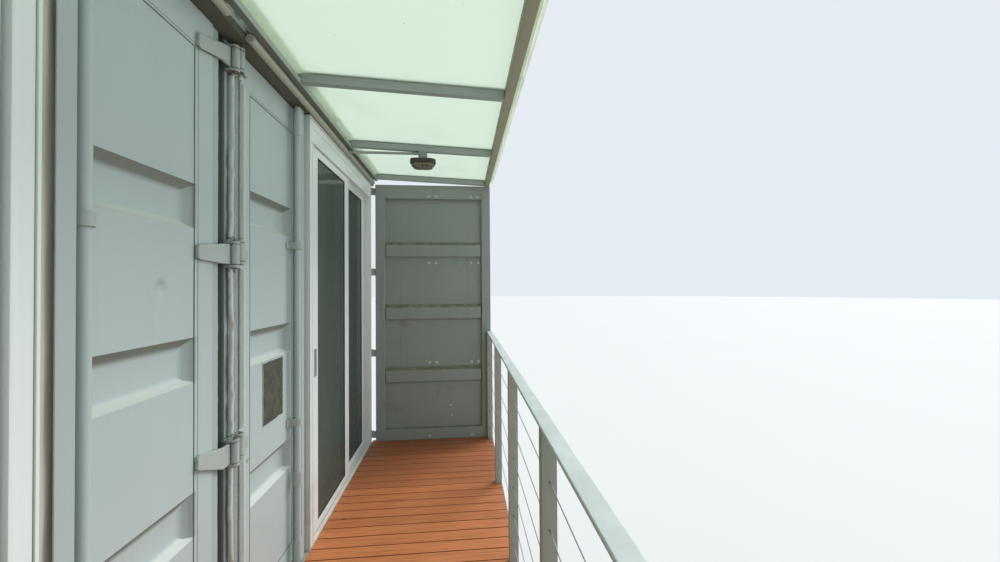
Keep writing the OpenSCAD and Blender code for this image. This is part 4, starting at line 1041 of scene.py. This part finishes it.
class CABIN_OT_sliding_doors(bpy.types.Operator):
    """White sliding doors with glass, glazing seals and pulls"""

    bl_idname = "cabin.sliding_doors"
    bl_label = "Sliding doors"

    def execute(self, context):
        dress("slider_frames fixed_sashes sliding_sash_a sliding_sash_b", "frame_white", 0.003, 3)
        dress("fixed_glass sliding_glass_a sliding_glass_b", "door_glass", 0.0)
        dress("pull_a pull_b", "pull_metal", 0.003, 3)
        self.glazing_seals("fixed_glass", ROOT, 2)
        self.glazing_seals("sliding_glass_a", "slider_a", 1)
        self.glazing_seals("sliding_glass_b", "slider_b", 1)
        self.frame_beads()
        self.gap_filler()
        self.curtain()
        return {"FINISHED"}

    def bar(self, bm, side, xs, outs, ups, round_by=0.0012):
        """A bar of a door's profile, given by its ends along, out and up; side -1 mirrors it."""
        x0, x1 = sorted(side * x for x in xs)
        block(bm, spot(x0, outs[1], ups[0]), spot(x1, outs[0], ups[1]), round_by)

    def frame_beads(self):
        """Beads, grooves and tracks of the two white frames."""
        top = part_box("slider_frames")[1].z - DECK
        front, far, panel, head = 0.064, 2.310, 0.058, top - 0.150
        # how far out the bars reach from back to front
        back = front - 0.004
        proud, low, groove = (back, front + 0.004), (back, front + 0.003), (front - 0.002, front + 0.0004)
        beads, grooves = bmesh.new(), bmesh.new()
        for side, near in ((-1, 0.840), (1, 0.690)):
            for edge, inward in ((near, 1), (far, -1)):
                self.bar(beads, side, (edge, edge + inward * 0.008), proud, (0.0, top))
                self.bar(beads, side, (edge + inward * 0.046, edge + inward * panel), low, (0.0, head))
                self.bar(grooves, side, (edge + inward * 0.0085, edge + inward * 0.0105), groove, (0.0, top - 0.009))
            self.bar(beads, side, (near + 0.008, far - 0.008), proud, (top - 0.010, top))
            self.bar(beads, side, (near + panel, far - panel), low, (head, head + 0.012))
            self.bar(grooves, side, (near + 0.0105, far - 0.0105), groove, (top - 0.0135, top - 0.0105))
            self.bar(grooves, side, (near + panel, far - panel), groove, (top - 0.0600, top - 0.0575))
            # inner lips of the far jamb and the track
            for out in (0.040, 0.022, 0.004):
                self.bar(beads, side, (far - 0.062, far - panel), (out - 0.003, out + 0.003), (0.04, head))
            self.bar(beads, side, (near + panel, far - panel), (0.0575, 0.0610), (0.027, 0.034), 0.0008)
        piece("frame_beads", beads, "frame_white", slot="white_frame")
        piece("frame_grooves", grooves, "old_gasket")

    def gap_filler(self):
        """Uneven filler between the first frame and its leaf."""
        section = [
            (-0.8395, 0.006), (-0.8395, 0.058), (-0.828, 0.054), (-0.806, 0.047), (-0.790, 0.046), (-0.7745, 0.050),
            (-0.7745, 0.006),
        ]
        foot, tall, steps, wave = 0.002, 2.578, 120, 0.005
        bm = bmesh.new()
        rows = []
        for i in range(steps + 1):
            up = foot + tall * i / steps
            row = []
            for x, out in section:
                uneven = wave * noise.noise(Vector((x * 30, 3, up * 4.0))) if out > 0.01 else 0
                row.append(bm.verts.new(spot(x, out + uneven, up)))
            rows.append(row)
        skin(bm, rows)
        piece("gap_filler", bm, "filler_paint", slot="trim", smooth_angle=60)

    def curtain(self):
        """A gathered curtain on a rod behind the second door's glass."""
        left, right, head, foot = 1.16, 1.93, 2.40, 0.045
        folds = sizes().curtain_folds
        out, reach = -0.092, 0.026
        columns, rows = folds * 14, 40
        bm = bmesh.new()
        grid = []
        for r in range(rows + 1):
            t = r / rows
            row = []
            for k in range(columns + 1):
                s = k / columns
                swing = math.sin(2 * math.pi * folds * s + 0.7 * math.sin(3.1 * s + 1.0))
                fall = 0.65 + 0.35 * t
                drift = 0.018 * t * math.sin(9 * s + 2.0) + 0.006 * noise.noise(Vector((s * 7, t * 2.5, 1)))
                x = left + (right - left) * s + drift
                row.append(bm.verts.new(spot(x, out + reach * swing * fall, head + (foot - head) * t)))
            grid.append(row)
        for upper, lower in zip(grid, grid[1:]):
            for k in range(columns):
                bm.faces.new((upper[k], upper[k + 1], lower[k + 1], lower[k]))
        cloth = piece("door_curtain", bm, "curtain", smooth_angle=180)
        cloth.modifiers.new("cloth", "SOLIDIFY").thickness = 0.0012
        # the rod with its end knobs, hung from the header by two flat bars
        rod_start, rod_up, bars, bar_half, bar_up = 0.80, head + 0.012, (0.86, 2.09), 0.008, head + 0.1915
        knobs = [(0, 0.016), (0.012, 0.018), (0.02, 0.010), (1.35, 0.010), (1.358, 0.018), (1.37, 0.016)]
        rod = bmesh.new()
        turned(rod, spot(rod_start, out, rod_up), X, knobs, 20)
        for x in bars:
            block(rod, spot(x, out + bar_half, head), spot(x + 0.02, out - bar_half, bar_up), 0.002)
        piece("curtain_rod", rod, "wire_steel")
        ring_radius, ring_wire, ring_up = 0.016, 0.0018, head + 0.008
        rings = bmesh.new()
        for k in range(folds + 1):
            centre = spot(left + (right - left) * k / folds, out, ring_up)
            rope(rings, circle(centre, Y, Z, ring_radius, 18), ring_wire, 6, closed=True)
        hooks = piece("curtain_rings", rings, "wire_steel")

    def glazing_seals(self, node, body, panes):
        """Rubber seals round a node's panes, on both faces of the glass."""
        bm = bmesh.new()
        low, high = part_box(node)
        xs = sorted({round(v.co.x, 4) for v in NODES[node].data.vertices})
        spans = [(low.x, high.x)] if panes == 1 else [(xs[0], xs[1]), (xs[2], xs[3])]
        w, d = 0.007, 0.005
        for x0, x1 in spans:
            for y0, y1 in ((low.y - d, low.y), (high.y, high.y + d)):
                block(bm, (x0, y0, low.z), (x0 + w, y1, high.z), 0.001)
                block(bm, (x1 - w, y0, low.z), (x1, y1, high.z), 0.001)
                block(bm, (x0 + w, y0, low.z), (x1 - w, y1, low.z + w), 0.001)
                block(bm, (x0 + w, y0, high.z - w), (x1 - w, y1, high.z), 0.001)
        piece("glazing_seals_" + node, bm, "rubber", body=body)


class CABIN_OT_deck(bpy.types.Operator):
    """Deck boards and their screws"""

    bl_idname = "cabin.deck"
    bl_label = "Deck"

    def execute(self, context):
        dress("deck_boards", "deck_stain", sizes().board_round, 3)
        bm = bmesh.new()
        low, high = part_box("deck_boards")
        inset, joists = 0.022, (0.090, 0.467, 0.870, 1.250)
        boards = int(round((high.x - low.x + BOARD_PITCH - BOARD_WIDTH) / BOARD_PITCH))
        for i in range(boards):
            x = low.x + i * BOARD_PITCH
            for out in joists:
                for k in (inset, BOARD_WIDTH - inset):
                    screw(bm, spot(x + k, out, 0.0), sizes().screw_head)
        piece("deck_screws", bm, "screw_steel")
        return {"FINISHED"}


class CABIN_OT_railing(bpy.types.Operator):
    """Railing posts, hand rail and wires"""

    bl_idname = "cabin.railing"
    bl_label = "Railing"

    def execute(self, context):
        dress("rail_posts", "rail_paint", 0.0)
        dress("hand_rail", "cap_paint", 0.004, 3)
        dress("rail_cables", "wire_steel", 0.0)
        dress("cable_ends", "wire_steel", 0.001)
        return {"FINISHED"}


class CABIN_OT_canopy(bpy.types.Operator):
    """Canopy steel, milky sheets, capping bars and screws"""

    bl_idname = "cabin.canopy"
    bl_label = "Canopy"

    def execute(self, context):
        dress("canopy_rafters", "canopy_paint", 0.003, 3)
        dress("canopy_ledger", "ledger_paint", 0.003, 3)
        dress("canopy_beam", "beam_paint", 0.003, 3)
        dress("canopy_sheets", "milky_sheet", 0.0)
        dress("canopy_flashings", "flashing", 0.0)
        low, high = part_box("canopy_sheets")
        slope, sheet_top = 0.049 / 1.077, low.z + 0.010
        y0, y1 = low.y + 0.06, high.y - 0.09
        # section of a capping bar over the sheets, which lies just clear of them
        section = [(-0.030, 0), (-0.030, 0.002), (-0.012, 0.007), (0.012, 0.007), (0.030, 0.002), (0.030, 0)]
        clear, end, screw_lift, screws_on_bar = 0.0007, 0.05, 0.0075, 6
        bars, screws = bmesh.new(), bmesh.new()
        for x in RAFTERS:
            rows = []
            for y in (y0, y1):
                z = sheet_top + (y - low.y) * slope + clear
                rows.append([bars.verts.new((x + a, y, z + b)) for a, b in section])
            skin(bars, rows)
            for k in range(screws_on_bar):
                y = y0 + end + (y1 - y0 - 2 * end) * k / (screws_on_bar - 1)
                bolt(screws, (x, y, sheet_top + (y - low.y) * slope + screw_lift), Z, 0.010)
        piece("capping_bars", bars, "cap_paint", slot="canopy_steel")
        piece("canopy_screws", screws, "screw_steel")
        return {"FINISHED"}


class CABIN_OT_lamp(bpy.types.Operator):
    """Caged lamp with its box and conduit"""

    bl_idname = "cabin.lamp"
    bl_label = "Lamp"

    def execute(self, context):
        dress("lamp_box", "lamp_grey", 0.003, 3)
        dress("lamp_conduit", "conduit", 0.0)
        dress("lamp_base", "lamp_body", 0.004, 3)
        dress("lamp_globe", "lamp_glass", 0.004, 3)
        low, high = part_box("lamp_globe")
        base_low, base_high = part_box("lamp_base")
        mid = (low + high) / 2
        inset, seat, clear = 0.008, 0.002, 0.001
        reach_x, reach_y = (base_high.x - base_low.x) / 2 - inset, (base_high.y - base_low.y) / 2 - inset
        wire = sizes().cage_wire / 2
        top, drop = base_low.z + seat, base_low.z - (low.z - clear + wire)
        bm = bmesh.new()
        for k in range(-2, 3):
            middle = (mid.x, mid.y + k * reach_y * 0.36)
            self.hoop(bm, middle, (reach_x * (1 - (abs(k) / 3.4) ** 2), 0), top, drop, wire, 14)
        self.hoop(bm, (mid.x, mid.y), (0, reach_y), top, drop, wire, 18)
        piece("lamp_cage", bm, "lamp_body", slot="lamp_black")
        return {"FINISHED"}

    def hoop(self, bm, middle, reach, top, drop, wire, steps):
        """One hoop of the cage, from the base down under the globe and up again, with square shoulders."""
        (x, y), (dx, dy) = middle, reach
        shoulders = 0.6
        turns = [math.pi * i / steps for i in range(steps + 1)]
        arc = [(x + math.cos(a) * dx, y + math.cos(a) * dy, top - drop * math.sin(a) ** shoulders) for a in turns]
        rope(bm, arc, wire, 8)


class CABIN_OT_stage(bpy.types.Operator):
    """Pale floor, soft light and the camera"""

    bl_idname = "cabin.stage"
    bl_label = "Stage"

    def execute(self, context):
        scene = context.scene
        scene.view_settings.view_transform = "Standard"
        self.floor()
        self.world(scene)
        self.lights()
        self.camera(scene)
        return {"FINISHED"}

    def floor(self):
        """A wide pale floor."""
        bm = bmesh.new()
        bmesh.ops.create_circle(bm, cap_ends=True, radius=150, segments=96)
        mesh = bpy.data.meshes.new("studio_floor")
        bm.to_mesh(mesh)
        bm.free()
        obj = in_scene("studio_floor", mesh)
        f = Finish("studio_floor")
        mesh.materials.append(f.coat(f.darker(colours().floor, 0.98 + 0.03 * f.clouds(0.2, 3)), 0.85))

    def world(self, scene):
        """A soft sky, slightly paler where the camera, metal or glass sees it than where it lights the object."""
        world = bpy.data.worlds.new("studio")
        scene.world = world
        world.use_nodes = True
        sky = Nodes(world.node_tree)
        seen = sky.node("ShaderNodeLightPath", out="Is Camera Ray")
        rays = seen.socket.node.outputs
        for ray in ("Is Glossy Ray", "Is Transmission Ray"):
            seen = seen.largest(Value(sky, rays[ray]))
        back = sky.tree.nodes["Background"]
        sky.feed(back.inputs["Color"], (0.88, 0.94, 1.0))
        strength = sky.node("ShaderNodeMapRange", sockets={"Value": seen, "To Min": 0.85, "To Max": 0.90})
        sky.feed(back.inputs["Strength"], strength)

    def lights(self):
        """A soft sun from the front and a weak fill."""
        for name, power, turn, size in (("sun", 2.2, (48, 0, 34), 35), ("fill", 0.4, (40, 0, 160), 60)):
            data = bpy.data.lights.new(name, "SUN")
            data.energy = power
            data.angle = math.radians(size)
            in_scene(name, data).rotation_euler = [math.radians(a) for a in turn]

    def camera(self, scene):
        """The camera as it was fitted to the door leaves in the picture."""
        focal_px, image_px = 399.84, 1000
        place = spot(-1.7856, 0.9631, 1.5553)
        yaw, pitch, roll = (math.radians(a) for a in (5.5085, 0.6942, -0.378))
        ahead = Vector((math.cos(pitch) * math.cos(yaw), -math.cos(pitch) * math.sin(yaw), math.sin(pitch)))
        right = ahead.cross(Z).normalized()
        up = right.cross(ahead)
        level = math.cos(roll) * right + math.sin(roll) * up
        over = math.cos(roll) * up - math.sin(roll) * right
        data = bpy.data.cameras.new("photo_view")
        data.sensor_width = 36.0
        data.lens = focal_px / image_px * data.sensor_width
        data.clip_start, data.clip_end = 0.02, 500
        obj = in_scene("photo_view", data)
        obj.matrix_world = Matrix.Translation(place) @ Matrix((level, over, -ahead)).transposed().to_4x4()
        scene.camera = obj


OPERATORS = (
    CABIN_OT_steelwork, CABIN_OT_shells, CABIN_OT_leaves, CABIN_OT_seals, CABIN_OT_gear,
    CABIN_OT_sliding_doors, CABIN_OT_deck, CABIN_OT_railing, CABIN_OT_canopy, CABIN_OT_lamp, CABIN_OT_stage,
)


class CABIN_PT_panel(bpy.types.Panel):
    """Pieces of the cabin, and their sizes and colours"""

    bl_idname = "CABIN_PT_panel"
    bl_label = "Container cabin"
    bl_space_type = "VIEW_3D"
    bl_region_type = "UI"
    bl_category = "Cabin"

    def draw(self, context):
        layout = self.layout
        for group in (context.scene.cabin_sizes, context.scene.cabin_colours):
            box = layout.box()
            for name in group.__annotations__:
                box.prop(group, name)
        for operator in OPERATORS:
            layout.operator(operator.bl_idname)


CLASSES = (CabinColours, CabinSizes, *OPERATORS, CABIN_PT_panel)


def register():
    for cls in CLASSES:
        bpy.utils.register_class(cls)
    bpy.types.Scene.cabin_colours = bpy.props.PointerProperty(type=CabinColours)
    bpy.types.Scene.cabin_sizes = bpy.props.PointerProperty(type=CabinSizes)


def unregister():
    del bpy.types.Scene.cabin_sizes
    del bpy.types.Scene.cabin_colours
    for cls in reversed(CLASSES):
        bpy.utils.unregister_class(cls)


def main():
    register()
    for operator in OPERATORS:
        group, name = operator.bl_idname.split(".")
        getattr(getattr(bpy.ops, group), name)()


if __name__ == "__main__":
    main()
